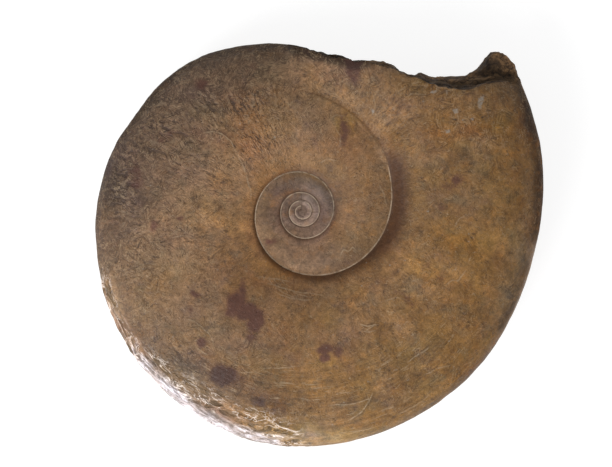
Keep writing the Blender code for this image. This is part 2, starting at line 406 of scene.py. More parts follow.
def soften(points, faces, weight, rounds):
    """Moves each point part of the way to the middle of its neighbours, by its weight."""
    ends = set()
    for f in faces:
        for a, b in zip(f, f[1:] + f[:1], strict=True):
            ends.add((a, b) if a < b else (b, a))
    ends = np.array(sorted(ends))
    busy = (weight[ends[:, 0]] > 0.01) | (weight[ends[:, 1]] > 0.01)
    a, b = ends[busy].T
    degree = np.bincount(a, minlength=len(points)) + np.bincount(b, minlength=len(points))
    degree = np.maximum(degree, 1)[:, None]
    weight = np.where(weight > 0.01, weight, 0.0)[:, None]
    for _ in range(rounds):
        total = np.zeros_like(points)
        for k in range(3):
            total[:, k] = np.bincount(a, points[b, k], len(points)) + np.bincount(b, points[a, k], len(points))
        points = points + 0.6 * weight * (total / degree - points)
    return points


def soften_seams(points, marks, faces):
    side, coil, r, height, angle = marks.T
    inner = r - seam(coil)
    outer = np.where(coil + 360 <= 1175, seam(np.minimum(coil + 360, 1175)) - r, 99.0)
    turn = np.where(inner < outer, coil, coil + 360)
    gap = np.minimum(inner, outer)
    torn = smooth(1098, 1122, turn)
    wide = torn * smooth(11.0, 1.5, gap)
    points = soften(points, faces, np.clip(wide, 0, 1) * (side > 0), 34)
    narrow = smooth(2.4, 0.2, gap) * smooth(9, 20, r) * (1 - torn)
    return soften(points, faces, np.clip(narrow, 0, 1), 3)


def level_core(points, marks):
    """Brings the inner whorls nearer to one smooth bowl."""
    side, coil, r, height, angle = marks.T
    for face in (1, -1):
        here = (side == face) & (r < 44)
        bowl = np.polynomial.Polynomial.fit(r[here], height[here], 4)
        keep = 0.42 + 0.58 * smooth(20, 42, r[here])
        level = bowl(np.maximum(r[here], 13.0)) + 0.05 * (r[here] - 13.0) * (r[here] < 13.0)
        points[here, 2] += face * (level - height[here]) * (1 - keep)
    return points


def undercut_knob(points, marks):
    """Turns the points beside the knob about the axis, because its side leans past the radial line."""
    side, coil, r, height, angle = marks.T
    here = smooth(394.3, 398.0, angle) * (1 - smooth(401.5, 406.5, angle)) * (coil >= LAST_WHORL)
    turn = np.radians(np.interp(r, *KNOB_LEAN)) * here
    c, n = np.cos(turn), np.sin(turn)
    x, y = points[:, 0].copy(), points[:, 1].copy()
    points[:, 0], points[:, 1] = c * x - n * y, n * x + c * y
    return points


def normals_of(mesh):
    n = np.empty(len(mesh.vertices) * 3, np.float32)
    mesh.vertex_normals.foreach_get("vector", n)
    return n.reshape(-1, 3).astype(float)


# ------------------------------------------------------------------ masks
def turn_gap(angle, centre):
    """Signed degrees from centre to angle, the short way round."""
    return (angle - centre + 180.0) % 360.0 - 180.0


def sector(angle, low, high, soft):
    """1 between two plan angles, falling off over soft degrees outside them."""
    middle, half = (low + high) / 2, (high - low) / 2
    return 1 - smooth(half, half + soft, np.abs(turn_gap(angle, middle)))


def spot(x, y, cx, cy, rx, ry, turn=0.0):
    """1 at the middle of an ellipse, 0.37 on it."""
    a = math.radians(turn)
    u = ((x - cx) * math.cos(a) + (y - cy) * math.sin(a)) / rx
    v = (-(x - cx) * math.sin(a) + (y - cy) * math.cos(a)) / ry
    return np.exp(-(u * u + v * v))


# Stains on the upper flank, from the coil axis: x, y, half length, half width, turn, strength.
STAINS = [
    (-42, -62, 6.5, 8, 0, 1.0), (-31, -73, 5.5, 8, -10, 1.0), (-39, -51, 2.6, 7, 0, 0.75), (-36, -67, 7, 6, 0, 0.9),
    (-33, -84, 4, 6, 0, 0.5), (-47, -67, 4, 4, 0, 0.6),
    (-51, -109, 9.5, 6.5, -15, 1.0), (-56, -106, 4, 3, 0, 0.6),
    (17, -91.5, 7, 3.2, 10, 0.8), (24, -93, 5, 5, 0, 0.6), (15.5, -97, 3.4, 3.0, 0, 1.0),
    (-66, -87, 3.6, 3.6, 0, 0.75), (-28, -127, 6, 4, 0, 0.6), (-14, -133, 8, 4, 0, 0.45),
    (100, 19, 10, 5, 20, 0.5), (92, 2, 6, 5, 0, 0.3), (28, 53, 5, 12, 0, 0.55), (-68, 84, 7, 5, 0, 0.5),
    (-110, 22, 6, 12, 0, 0.5), (-129, 28, 4, 9, 0, 0.5), (-92, 48, 12, 5, 30, 0.35), (-98, -11, 3, 5, 0, 0.6),
    (-80, -5, 3, 2.2, 0, 0.7), (-70, -55, 4, 2.4, -30, 0.6), (-74, -65, 3, 5, 0, 0.45), (88, -42, 12, 7, -30, 0.3),
    (70, -58, 14, 6, -35, 0.35), (12, 92, 6, 5, 0, 0.25), (34, 94, 6, 9.5, 0, 0.7), (-30, 96, 16, 8, 0, 0.3),
    (-20, -20, 4.5, 2.6, 15, 0.6), (46, -85, 10, 7, 0, 0.25), (60, -118, 14, 8, 30, 0.25), (84, -100, 10, 10, 0, 0.25),
]  # fmt: skip
# Patches of frilled suture relief, in the same way.
FRILLS = [
    (-118, 22, 9, 25, 0, 1.0), (-95, 50, 17, 12, 20, 0.85), (-92, 72, 9, 8, 0, 0.7), (-37, 71, 16, 9, 0, 0.85),
    (-28, 48, 12, 10, 0, 0.7), (-62, 66, 12, 9, 0, 0.6), (-76, 32, 12, 10, 0, 0.55), (-112, -12, 9, 8, 0, 0.45),
    (-56, 22, 14, 12, 0, 0.45), (-82, 92, 14, 8, 30, 0.45), (-105, 78, 7, 10, -30, 0.5), (96, 82, 22, 10, 0, 0.5),
    (66, 60, 14, 14, 0, 0.45), (-45, -28, 16, 10, 0, 0.35), (-60, 100, 14, 8, 10, 0.35),
]  # fmt: skip
# Pale blue-grey scuffs, in the same way.
SCUFFS = [
    (118, 73, 2.6, 4.0, -20, 1.0), (96, 52, 3, 1.6, 0, 1.0), (101, 64.5, 1.6, 1.6, 0, 0.9), (80, 72, 1.5, 2.6, 0, 0.6),
    (88, 78, 2, 1.4, 30, 0.7), (47, 66, 1.6, 3.0, 10, 0.8), (83, 0, 1.3, 1.3, 0, 1.0), (106, 60, 1.5, 1.5, 0, 0.7),
    (118, 14, 2.2, 1.6, 0, 0.5), (110, -20, 1.8, 1.8, 0, 0.6), (74, -46, 3, 1.6, 15, 0.6), (102, -38, 3.4, 1.4, 30, 0.6),
    (62, -105, 3.2, 1.4, 10, 0.7), (70, -112, 4, 1.6, 20, 0.6), (44, -113, 2.4, 1.5, 0, 0.6), (30, -120, 2, 1.4, 0, 0.7),
    (86, 78, 2.2, 1.5, 0, 0.85), (95, 78, 1.5, 2.8, 0, 0.85), (112, 60.5, 1.8, 2.1, 0, 0.85), (101, 66, 2.4, 1.8, 0, 1.0), (117, 69, 2.0, 3.2, -20, 0.9),
    (20, -142, 5, 1.6, 0, 0.6), (92, -88, 4, 1.6, 20, 0.5), (52, -124, 3, 1.2, 0, 0.5), (-44, 60, 6, 1.2, 0, 0.25),
]  # fmt: skip

# Fine pale scratches: their points, and a strength.
SCRATCHES = [
    (((46.5, -120.6), (44.5, -126.6), (39.8, -132.7), (32.4, -138)), 0.9),
    (((19, -128.6), (29.1, -128), (36.4, -126), (43.8, -124)), 0.8),
    (((70.7, -99.8), (74, -97.1), (78, -94.4), (83.4, -89.7)), 0.8),
    (((38.5, -74.3), (43.2, -75.6), (49.2, -75)), 0.8),
    (((39.1, -79), (44.5, -79.7), (48.5, -79)), 0.5),
    (((94.8, -48.8), (99.5, -45.4), (102.9, -46.8), (108.2, -39.4)), 0.6),
    (((-76.3, -70.9), (-70.3, -73.6), (-62.9, -79.7), (-59.5, -84.4), (-57.5, -90.4)), 0.5),
    (((-22.6, -48.1), (-11.2, -51.5), (-1.1, -54.2), (13.6, -55.5)), 0.5),
    (((-15.9, -54.2), (-6.5, -57.5), (6.9, -59.5)), 0.45),
    (((-29.3, -43.4), (-19.9, -45.4), (-7.9, -46.8)), 0.5),
    (((-63.6, 51.9), (-57.5, 52.5), (-52.1, 50.5), (-47.4, 45.8), (-43.4, 39.1)), 0.75),
    (((-42.7, 37.1), (-39.4, 30.4), (-36.7, 23.7), (-34, 15.6), (-33.4, 6.2)), 0.6),
    (((13.6, 31.7), (17.6, 33.8), (22.3, 33.1)), 0.6),
    (((25.7, -29.3), (27.7, -25.3), (31.1, -27.3), (33.8, -24), (37.1, -26.6)), 0.6),
    (((-1.1, -124), (5.6, -125.3), (13.6, -124)), 0.5),
    (((-26.6, -103.1), (-14.6, -104.5), (-1.1, -102.5)), 0.5),
    (((-41.4, -107.8), (-30.7, -106.5), (-22.6, -108.5)), 0.4),
    (((-116.6, -79.7), (-113.2, -86.4), (-109.9, -93.1)), 0.5),
    (((25.7, -148.1), (36.4, -146.8), (47.2, -144.8)), 0.5),
    (((55.9, -59.5), (63.3, -57.5), (68.7, -58.9)), 0.4),
    (((100.9, -9.9), (103.6, -5.2), (108.2, -2.5)), 0.4),
    (((-108.5, -38.1), (-101.8, -34), (-96.4, -35.4)), 0.35),
    (((-86.4, -17.9), (-79, -16.6), (-70.9, -18.6)), 0.4),
    (((82.1, -108.5), (90.1, -103.8), (98.2, -102.5)), 0.45),
    (((64.6, -134.7), (75.4, -129.3), (84.8, -121.9)), 0.5),
    (((51.2, 17), (54.6, 10.3), (56.6, 2.2)), 0.4),
    (((23, 54.6), (26.4, 49.2), (25, 42.5)), 0.5),
    (((19, 61.3), (23, 64), (28.4, 62.6)), 0.4),
    (((47.2, 76), (49.2, 70), (46.5, 64)), 0.2),
    (((119.7, 69.3), (122.3, 62.6), (121, 55.9)), 0.15),
    (((67.3, 73.4), (72.7, 77.4), (79.4, 75.4)), 0.4),
    (((100.9, 66.6), (102.9, 59.9), (99.5, 53.2)), 0.4),
]  # fmt: skip
# Lighter and darker patches of the flank, in doublings of its brightness, in the same way: partly the stone's own tone
# and partly painted light and painted shade.
SHADES = [
    (26, 67, 5.4, 12.1, 0, 0.22), (59, 55, 6.7, 8.1, 0, 0.22), (83, 64, 6.7, 5.4, 0, 0.22), (-26, 48, 6, 7.4, 0, 0.3),
    (-47, 50, 4.7, 11.4, 0, 0.2), (-95, 33, 11.4, 5.4, 0, 0.2), (-56, 17, 9.4, 6, 0, 0.35),
    (-33, 9, 16.1, 6.7, 0, 0.22), (-102, -14, 8.1, 6.7, 0, 0.42), (-60, -7, 13.4, 6, -10, 0.38),
    (-39, -14, 6.7, 5.4, 0, 0.25), (-83, -34, 7.4, 8.1, 0, 0.35), (-51, -49, 4.7, 8.7, 0, 0.35),
    (-15, -29, 9.4, 6, -40, 0.3), (6, -39, 12.1, 4.7, 0, 0.36), (37, 2, 8.7, 17.4, 0, 0.22),
    (81, -38, 16.1, 6, -15, 0.42), (93, -17, 6.7, 4, 0, 0.28), (47, -56, 14.8, 6, -20, 0.26),
    (63, -72, 9.4, 8.1, -30, 0.26), (128, -23, 14.8, 8.1, -15, 0.26), (138, -58, 8.1, 9.4, 0, 0.28),
    (75, 11, 3.4, 26.8, 0, 0.18), (125, 11, 5.4, 12.1, 0, 0.2),
    (14, -98, 12.1, 4.7, 0, 0.3), (-1, -94, 8.1, 5.4, 0, 0.2), (44, -114, 8.1, 5.4, 0, 0.34),
    (2, -117, 10.7, 6, 0, 0.24), (-45, -133, 13.4, 4.7, -20, 0.35), (-18, -148, 17.4, 5.4, -6, 0.55),
    (9, -151, 20.1, 5.4, 4, 0.65), (-131, -53, 4, 9.4, 0, 0.5), (-125, -68, 4, 9.4, 20, 0.5),
    (120, -86, 6.7, 14.8, -25, 0.25), (133, -66, 5.4, 8.1, -25, 0.2), (-68, 79, 7.4, 6, 0, -0.28),
    (-37, 75, 8.1, 6.7, 0, -0.24), (-121, 16, 10.1, 9.4, 0, -0.45), (-133, -0, 6.7, 10.7, 0, -0.3),
    (-130, 34, 5.4, 10.7, -25, -0.45), (14, 16, 12.1, 6.7, -20, -0.55), (22, -0, 4, 10.7, 0, -0.4),
    (9, 54, 5.4, 5.4, 0, -0.3), (44, 75, 6, 9.4, 0, -0.26), (28, 38, 6, 6, 0, -0.2), (37, -34, 8.1, 8.1, 40, -0.38),
    (104, 33, 6.7, 5.4, 0, -0.42), (87, 30, 8.1, 4, 0, -0.2), (93, 2, 6.7, 5.4, 0, -0.2),
    (90, -64, 10.1, 5.4, -20, -0.48), (98, -81, 6, 12.1, -25, -0.33), (-36, -35, 8.1, 6, 0, -0.35),
    (-59, -55, 6.7, 4.7, 0, -0.2), (-104, -54, 14.8, 12.1, 0, -0.2), (-127, -23, 6.7, 9.4, 0, -0.2),
    (-92, -74, 12.1, 8.1, 0, -0.25), (-112, -82, 6, 5.4, 0, -0.4), (-68, -106, 12.8, 5.4, -15, -0.45),
    (-49, -120, 12.1, 5.4, -12, -0.55), (-52, -108, 6.7, 4.7, 0, -0.4), (-23, -127, 6, 5.4, 0, -0.45),
    (6, -131, 14.8, 4.7, 0, -0.3), (29, -128, 9.4, 5.4, 0, -0.2), (-11, -93, 6, 5.4, 0, -0.3),
    (22, -85, 10.1, 4.7, 0, -0.25), (47, -145, 16.1, 5.4, 10, -0.3), (108, -107, 9.4, 9.4, 0, -0.28),
    (73, -129, 12.1, 6, 0, -0.2), (136, 76, 10.7, 9.4, 0, -0.42), (29, 93, 6.7, 6, 0, -0.4),
    (152, 63, 6, 17.4, 0, -0.5), (140, 4, 6, 8.1, 0, -0.3),
    (29, 31, 26.8, 21.5, 0, -0.16), (40, 83, 8.1, 9.4, 0, -0.32), (22, 81, 5.4, 4, 0, -0.28),
    (-127, 21, 8.1, 13.4, 0, -0.28), (-131, 32, 5.4, 8.1, 0, -0.4), (-123, -49, 6.7, 6.7, 0, -0.28),
    (-113, -26, 9.4, 9.4, 0, -0.16), (-88, -60, 8.1, 6.7, 0, 0.34), (-80, -34, 8.1, 6.7, 0, 0.16),
    (-64, 4, 8.1, 17.4, 0, 0.2), (-12, 93, 4.7, 9.4, 0, 0.3), (126, -30, 12.1, 8.7, 0, 0.26),
    (116, -53, 7.4, 12.1, 0, 0.3), (82, -40, 16.1, 6, -10, 0.3), (97, -66, 8.7, 5.4, -20, -0.32),
    (7, -41, 14.8, 3.4, 0, 0.34), (-38, 75, 9.4, 6.7, 0, -0.18), (19, 6, 6, 12.1, 0, -0.28),
    (136, 96, 5.4, 6, 0, 0.5), (122, 97, 3.4, 5.4, 20, -0.45), (97, 88, 8.1, 2, 0, 0.35),
    (149, 60, 5.4, 9.4, 0, -0.5), (124, -94, 9.4, 14.8, -35, -0.3),
    (104, 36, 6, 5.4, 0, -0.25), (-43, -73, 5.4, 5.4, 0, -0.3), (-55, -55, 5.4, 4, 0, -0.25),
    (-18, 2, 4, 6.7, 0, 0.25), (-51, -10, 17.4, 6.7, -15, 0.16),
    (7, 104, 13.4, 3.4, -8, -0.4), (-29, 111, 9.4, 2.7, 0, -0.3), (-91, -90, 14.8, 8.7, -30, -0.24), (-75, -104, 10.7, 6, -25, -0.3),
    (-24, -127, 12.1, 6, -10, -0.5), (-51, -131, 12.1, 4, -25, 0.3), (-7, -149, 26.8, 5.4, 0, 0.32), (-45, 11, 13.4, 14.8, 0, 0.2), (-9, -38, 18.8, 6, -20, 0.2),
    (26, 16, 5.4, 8.1, 0, 0.2), (10, 16, 8.1, 8.1, 0, -0.22), (41, -25, 9.4, 5.4, 40, -0.26), (-127, 48, 5.4, 16.1, -28, -0.3), (138, 98, 6, 10.1, 20, 0.55),
    (69, 102, 16.8, 2, 0, 0.15), (116, 41, 18.8, 5.4, -8, 0.3), (96, -19, 8.1, 5.4, 0, 0.3), (118, -23, 9.4, 5.4, 0, 0.3), (67, -39, 10.7, 6, 0, 0.22),
    (42, -60, 8.1, 9.4, -40, 0.2), (69, -58, 8.1, 4.7, -30, 0.25), (83, -66, 9.4, 8.1, 0, -0.16), (116, -58, 6.7, 8.1, 0, 0.22), (42, -123, 9.4, 6, 0, -0.28),
    (31, -123, 5.4, 8.1, 0, -0.15), (83, -98, 8.1, 4.7, 0, -0.22), (1, -112, 5.4, 8.1, 0, 0.25), (36, -113, 8.1, 3.4, 0, 0.3), (14, -66, 9.4, 5.4, 0, 0.14),
    (-122, 11, 6, 5.4, 0, -0.3), (-103, 31, 6.7, 5.4, 0, -0.22), (-129, -19, 8.1, 14.8, 0, -0.22), (-102, -38, 9.4, 4.7, 0, -0.25), (-102, -62, 10.7, 5.4, 0, -0.2),
    (-53, -56, 10.7, 4.7, 0, -0.22), (-71, -47, 20.1, 6.7, 0, 0.1), (22, 63, 6, 10.7, 10, 0.22), (-7, 90, 9.4, 6.7, 0, 0.25), (-68, 81, 8.1, 5.4, 0, -0.15),
    (86, 80, 13.4, 4, 0, -0.16), (120, 83, 9.4, 4, 0, -0.2), (40, 69, 8.1, 6.7, 0, -0.2), (136, 67, 4, 5.4, 0, 0.25), (56, 34, 5.4, 13.4, 0, -0.16),
    (153, 60, 3.4, 6.7, 0, -0.5), (158, 34, 2, 14.8, 0, 0.3), 
    (-102, -53, 40.3, 40.3, 0, -0.07), (-48, -93, 41.6, 24.2, -15, -0.1), (86, -108, 44.3, 22.8, 30, -0.1), (-127, 51, 5.4, 17.4, -28, -0.28), (-41, -130, 17.4, 4.7, -22, 0.22),
    (-29, -140, 10.7, 4, -15, 0.3), (117, 78, 17.4, 9.4, 0, -0.14), (-62, 60, 33.6, 6.7, 0, -0.06), (-51, -9, 18.8, 10.7, 0, 0.16), (29, -9, 9.4, 9.4, 0, 0.14),
    (29, -34, 16.1, 6, 35, -0.2), (12, 100, 10.7, 3.4, -10, -0.2), (-112, -82, 8.1, 6, 0, 0.3), (-122, 16, 6.7, 5.4, 0, -0.16), (-27, -11, 4, 6.7, 0, -0.2),
    (112, -110, 20.1, 5.4, 42, -0.12),
    (-110, -93, 8.1, 5.4, -30, 0.35), (-95, -9, 6.7, 9.4, 0, 0.2), (143, -9, 9.4, 6, 0, 0.28), (141, -29, 6.7, 9.4, 0, 0.2), (-134, -38, 5.4, 6.7, 0, -0.25),
    (-36, -129, 12.1, 4, -10, 0.2), (113, -113, 20.1, 4.7, 42, -0.12), (31, 103, 8.1, 2, 0, 0.3), (-58, 8, 6.7, 16.1, 0, 0.1), (-8, -41, 17.4, 4, -18, 0.18),
    (-31, 112, 6.7, 2, 0, -0.6), (-129, 48, 4, 14.8, -28, -0.25), (-131, -38, 6, 5.4, 0, -0.2), (-62, -23, 24.2, 17.4, 0, 0.13),
    (81, -42, 13.4, 6, -5, 0.16), (121, -23, 13.4, 8.1, 0, 0.13), (-7, -44, 17.4, 4.7, -15, 0.14), (35, -13, 8.7, 9.4, 0, 0.12),
    (46, -121, 8.1, 5.4, 0, -0.16), (-70, -104, 6.7, 4.7, -20, -0.24), (-100, -94, 6, 4.7, 0, -0.2), (118, -112, 17.4, 4, 42, -0.1), (148, -49, 2.7, 12.1, -20, 0.3),
]  # fmt: skip
# Sharp creases across the broken face.
CREASES = [
    ((117.6, 94.5), (125, 92.5), (131.1, 90.9), (137.1, 90.6), (143.8, 91.1)),
    ((94.8, 88.5), (98.9, 86.1), (103.6, 87.1), (109.6, 87.8), (116.3, 87.3), (123, 87.9), (129.7, 88.7), (135.1, 89.1)),
]  # fmt: skip
# Painted light on the ledges and painted shade in the creases of the broken face, in the same way.
BREAK_SHADES = [
    (121.7, 91.1, 10.1, 1.6, -4, 1), (110.3, 90.1, 4.7, 1.7, 10, 0.7), (122.3, 97.5, 3, 4.7, 30, -0.6), (129.1, 92.8, 8.1, 1.1, -14, -0.7),
    (137.8, 91.1, 6, 1.1, -4, -0.6), (135.1, 100.9, 6, 4.7, 0, 0.35), (141.1, 97.5, 3.4, 6, 25, 0.4), (97.5, 85.4, 6, 2, 0, -0.4),
    (86.1, 90.1, 10.7, 1.2, -6, 0.6),
    (122.3, 100.5, 3.6, 7.4, -38, -1.3), (142.5, 95, 4, 9, 22, 0.45), (141.5, 96.5, 3.6, 8.5, 22, 0.5), (128, 92.6, 9, 1.6, -8, 0.4),
    (102.9, 88.8, 8.7, 1.7, 0, 0.5), (127, 89.5, 8.7, 1.5, -3, 0.55), (87.4, 90.8, 6.7, 1.3, -6, 0.3),
]  # fmt: skip
# Patches where the colour leans one way, in the same way.
LEANS = {
    "rust": [
    (-38, 60, 12.1, 22.8, 0, 0.8), (-33, 40, 16.1, 8.1, 0, 0.7), (29, 41, 13.4, 14.8, 0, 0.6),
    (-132, -7, 10.7, 13.4, 0, 0.5), (-127, 53, 6.7, 10.7, 0, 0.5), (-95, 83, 6.7, 5.4, 0, 0.4),
    (-28, 110, 14.8, 4.7, 0, 0.7), (-4, 108, 13.4, 4, 0, 0.5), (-75, 55, 13.4, 6.7, 0, 0.3),
    (-51, 14, 8.1, 5.4, 0, 0.3), (-43, -63, 6.7, 6.7, 0, 0.6), (-11, -78, 5.4, 9.4, 0, 0.4),
    (-28, -49, 16.1, 5.4, -10, 0.3), (100, -19, 12.1, 8.1, -30, 0.4), (66, 65, 10.7, 5.4, 0, 0.4),
    (85, 81, 6.7, 4.7, 0, 0.5), (120, 56, 10.7, 4.7, 0, 0.5), (116, 28, 6.7, 3.4, 0, 0.4), (153, 58, 8.1, 18.8, 0, 1),
    (159, 8, 5.4, 26.8, 0, 1), (136, -90, 6.7, 10.7, -30, 1), (120, -112, 10.7, 8.1, -40, 0.9),
    (-102, -96, 8.1, 4, 30, 0.3),
    (-49, -111, 22.8, 5.4, -25, 0.7), (-23, -127, 10.7, 5.4, 0, 0.9), (-125, 44, 6.7, 18.8, -25, 0.6), (-135, 14, 4, 13.4, 0, 0.5), (-109, -81, 6, 4.7, 0, 0.5),
    (147, 61, 6.7, 12.1, 0, 0.5), (-43, -65, 9.4, 6.7, 0, 0.4), (103, 50, 17.4, 4, 0, 0.4), (83, 51, 14.8, 5.4, 0, 0.35), (-41, 76, 17.4, 5.4, 0, 0.4),
    (120, -105, 22.8, 6, 45, 0.8), (153, 63, 5.4, 8.1, 0, 0.4),
    ],
    "olive": [
    (69, -94, 14.8, 8.1, -30, 0.8), (83, -86, 9.4, 9.4, 0, 0.7), (79, -117, 12.1, 10.7, 0, 0.6),
    (42, -107, 9.4, 16.1, 0, 0.55), (39, -130, 9.4, 6.7, 0, 0.7), (32, -150, 26.8, 6.7, 0, 0.9),
    (2, -147, 20.1, 9.4, 0, 1), (-28, -147, 20.1, 5.4, 0, 0.6), (-21, -100, 14.8, 8.1, 0, 0.55),
    (-56, -83, 12.1, 10.7, -20, 0.5), (-62, -66, 9.4, 14.8, 0, 0.4), (-83, -36, 12.1, 8.1, 0, 0.4),
    (-82, -113, 13.4, 6.7, -25, 0.6), (-64, -123, 8.1, 6, -20, 0.8), (19, -76, 6, 13.4, 0, 0.6),
    (16, -100, 6.7, 5.4, 0, 0.5), (36, -54, 9.4, 4.7, -10, 0.5), (64, -56, 10.7, 9.4, 0, 0.45),
    (79, -36, 13.4, 6.7, 0, 0.35), (83, 8, 10.7, 12.1, 0, 0.6), (118, 11, 12.1, 16.1, 0, 0.7),
    (123, -19, 6.7, 6.7, 0, 0.5), (138, -18, 5.4, 6.7, 0, 0.5), (83, 30, 13.4, 5.4, 0, 0.7),
    (110, 41, 13.4, 4.7, -15, 0.8), (29, -23, 12.1, 6.7, 20, 0.5), (49, -16, 6.7, 8.1, 0, 0.4),
    (2, 2, 14.8, 13.4, 0, 0.7), (-68, 65, 8.1, 4.7, 0, 0.5), (-53, 56, 6.7, 4.7, 0, 0.4), (-23, 93, 9.4, 6.7, 0, 0.5),
    (-1, 58, 9.4, 6, 0, 0.4), (120, 71, 6.7, 4.7, 0, 0.5), (-62, 4, 9.4, 6.7, 0, 0.35),
    (145, -29, 8.1, 18.8, -10, 0.9), (137, -60, 6.7, 12.1, -30, 0.9), (-45, 40, 5.4, 13.4, 10, 0.5), (-1, -153, 16.1, 4, 0, 0.5), (-127, -60, 5.4, 10.7, 25, 0.8),
    ],
    "ash": [
    (-1, 2, 17.4, 14.8, 0, 0.8), (12, -0, 5.4, 9.4, 0, 0.4), (-78, 26, 17.4, 9.4, 0, 0.55),
    (-31, 26, 9.4, 4.7, 0, 0.5), (-118, 34, 9.4, 8.1, 0, 0.4), (-115, 8, 6.7, 6.7, 0, 0.4),
    (-90, 2, 8.1, 6.7, 0, 0.4), (-78, -18, 17.4, 7.4, 0, 0.6), (-41, -34, 9.4, 12.1, 0, 0.6),
    (-65, -66, 12.1, 12.1, 0, 0.8), (-49, -85, 14.8, 8.1, -15, 0.7), (-35, -92, 14.8, 6, -15, 0.6),
    (-17, -94, 6.7, 10.7, 0, 0.5), (-20, -57, 6.7, 6.7, 0, 0.5), (-25, -72, 5.4, 10.7, 0, 0.5),
    (-1, -56, 9.4, 6.7, 0, 0.4), (21, -84, 10.7, 6, 0, 1.1), (29, -23, 10.7, 14.8, 0, 0.4),
    (56, -49, 22.8, 7.4, 0, 0.5), (49, -16, 6.7, 6.7, 0, 0.4), (83, 31, 13.4, 6, 0, 0.9), (112, 39, 9.4, 6, 0, 0.8),
    (85, 4, 9.4, 9.4, 0, 0.5), (114, 13, 8.1, 10.7, 0, 0.5), (-72, 79, 12.1, 6, 0, 0.55),
    (-62, 53, 10.7, 6.7, 0, 0.4), (0, 55, 9.4, 8.1, 0, 0.6), (14, 89, 6.7, 8.1, 0, 0.4), (38, 93, 13.4, 6, 0, 0.6),
    (121, 73, 9.4, 4.7, 0, 0.5), (19, -140, 13.4, 8.1, 0, 0.3), (39, -128, 8.1, 4.7, 0, 0.4),
    (69, -86, 12.1, 10.7, 0, 0.3), (-60, -125, 8.1, 6, 0, 0.6), (-68, -96, 10.7, 8.1, 0, 0.4),
    (144, -26, 8.1, 16.1, -10, 1), (138, -60, 6.7, 13.4, -30, 1.1), (-1, -152, 18.8, 4.7, 0, 0.9), (-60, -132, 12.1, 4.7, -35, 0.8), (-130, -60, 5.4, 10.7, 25, 0.8),
    (29, -83, 12.1, 9.4, 0, 0.55), (-51, -54, 8.1, 10.7, 0, 0.55), (-60, -29, 17.4, 10.7, 0, 0.3), (113, 1, 10.7, 17.4, 0, 0.35), (83, 1, 8.1, 8.1, 0, 0.35),
    (32, -60, 16.1, 8.1, 0, 0.4), (87, -90, 9.4, 8.1, 0, 0.4), (133, 95, 13.4, 6.7, 0, 0.6), (12, 102, 12.1, 4, 0, 0.5), (19, -148, 16.1, 5.4, 0, 0.5),
    (-121, -80, 9.4, 13.4, 30, 0.9), (-58, -130, 13.4, 4.7, -35, 0.6), (-1, -151, 13.4, 5.4, 0, 0.5), (19, -80, 9.4, 8.1, 0, 0.5),
    ],
    "amber": [
    (103, -19, 20.1, 13.4, -30, 1), (113, -49, 8.1, 13.4, 0, 0.6), (14, 31, 13.4, 6.7, 0, 0.5),
    (-11, 28, 9.4, 5.4, 0, 0.4), (28, 58, 6.7, 8.1, 0, 0.8), (49, 61, 20.1, 10.7, 0, 0.3),
    (-31, 65, 17.4, 16.1, 0, 0.4), (-27, 8, 6.7, 20.1, 0, 0.4), (-18, -36, 8.1, 6.7, 0, 0.4),
    (-48, -51, 4.7, 4.7, 0, 0.6), (79, 80, 9.4, 5.4, 0, 0.6), (91, 56, 9.4, 6.7, 0, 0.5), (123, 58, 10.7, 6, 0, 0.7),
    (96, 21, 9.4, 4, 0, 0.6), (118, 28, 8.1, 4, 0, 0.6), (140, 14, 8.1, 20, 0, 0.4),
    (83, -43, 12.1, 5.4, 0, 0.35), (93, -70, 9.4, 10.7, 0, 0.4), (106, -96, 16.1, 16.1, -40, 0.6),
    (16, -117, 22.8, 6.7, 0, 0.4), (-21, -132, 12.1, 5.4, 0, 0.5), (-105, -60, 12.1, 14.8, 0, 0.35),
    (-112, -78, 6.7, 9.4, 0, 0.4), (-95, -98, 6.7, 4.7, 0, 0.4), (-129, -2, 9.4, 9.4, 0, 0.35),
    (-25, 108, 17.4, 5.4, 0, 0.5), (123, -110, 9.4, 9.4, 0, 1), (136, -90, 6.7, 10.7, -30, 1),
    (66, -140, 20.1, 6.7, 20, 0.8), (157, 55, 6.7, 22.8, 0, 1), (160, 14, 5.4, 14, 0, 0.7),
    (147, 65, 8.7, 20.1, 0, 0.9), (128, 55, 12.1, 8.1, 0, 0.6), (-23, -129, 12.1, 8.1, 0, 0.7), (86, 85, 17.4, 5.4, 0, 0.4), (120, 81, 16.1, 5.4, 0, 0.4),
    (16, 22, 12.1, 6.7, 0, 0.4), (32, 18, 8.1, 10.7, 0, 0.3), (-13, -18, 16.1, 5.4, 0, 0.3), (-109, -81, 6, 5.4, 0, 0.5), (123, -103, 16.1, 5.4, 48, 0.8),
    (66, 40, 6.7, 20.1, 0, 0.3), (12, 76, 14.8, 5.4, 0, 0.35), (28, 56, 4, 9.4, 0, 0.4),
    (110, -113, 26.8, 6, 40, 1), (125, -90, 6, 9.4, -30, 0.8), (-21, -133, 12.1, 5.4, 0, 0.7), (153, 61, 5.4, 9.4, 0, 0.7), (158, 4, 4, 16.1, 0, 0.8), (86, 83, 13.4, 5.4, 0, 0.5), (152, 44, 5.4, 13.4, 0, 0.5),
    ],
}  # fmt: skip
TINT_OF = {"rust": (0.13, -0.05, -0.10), "olive": (-0.08, 0.05, -0.05), "ash": (-0.02, 0.0, 0.36), "amber": (0.03, 0.0, -0.38)}


def line_gap(x, y, line):
    """Distance in mm to a bent line."""
    gap = np.full(len(x), 99.0)
    for (ax, ay), (bx, by) in zip(line[:-1], line[1:], strict=True):
        t = np.clip(((x - ax) * (bx - ax) + (y - ay) * (by - ay)) / ((bx - ax) ** 2 + (by - ay) ** 2), 0, 1)
        gap = np.minimum(gap, np.hypot(x - ax - t * (bx - ax), y - ay - t * (by - ay)))
    return gap


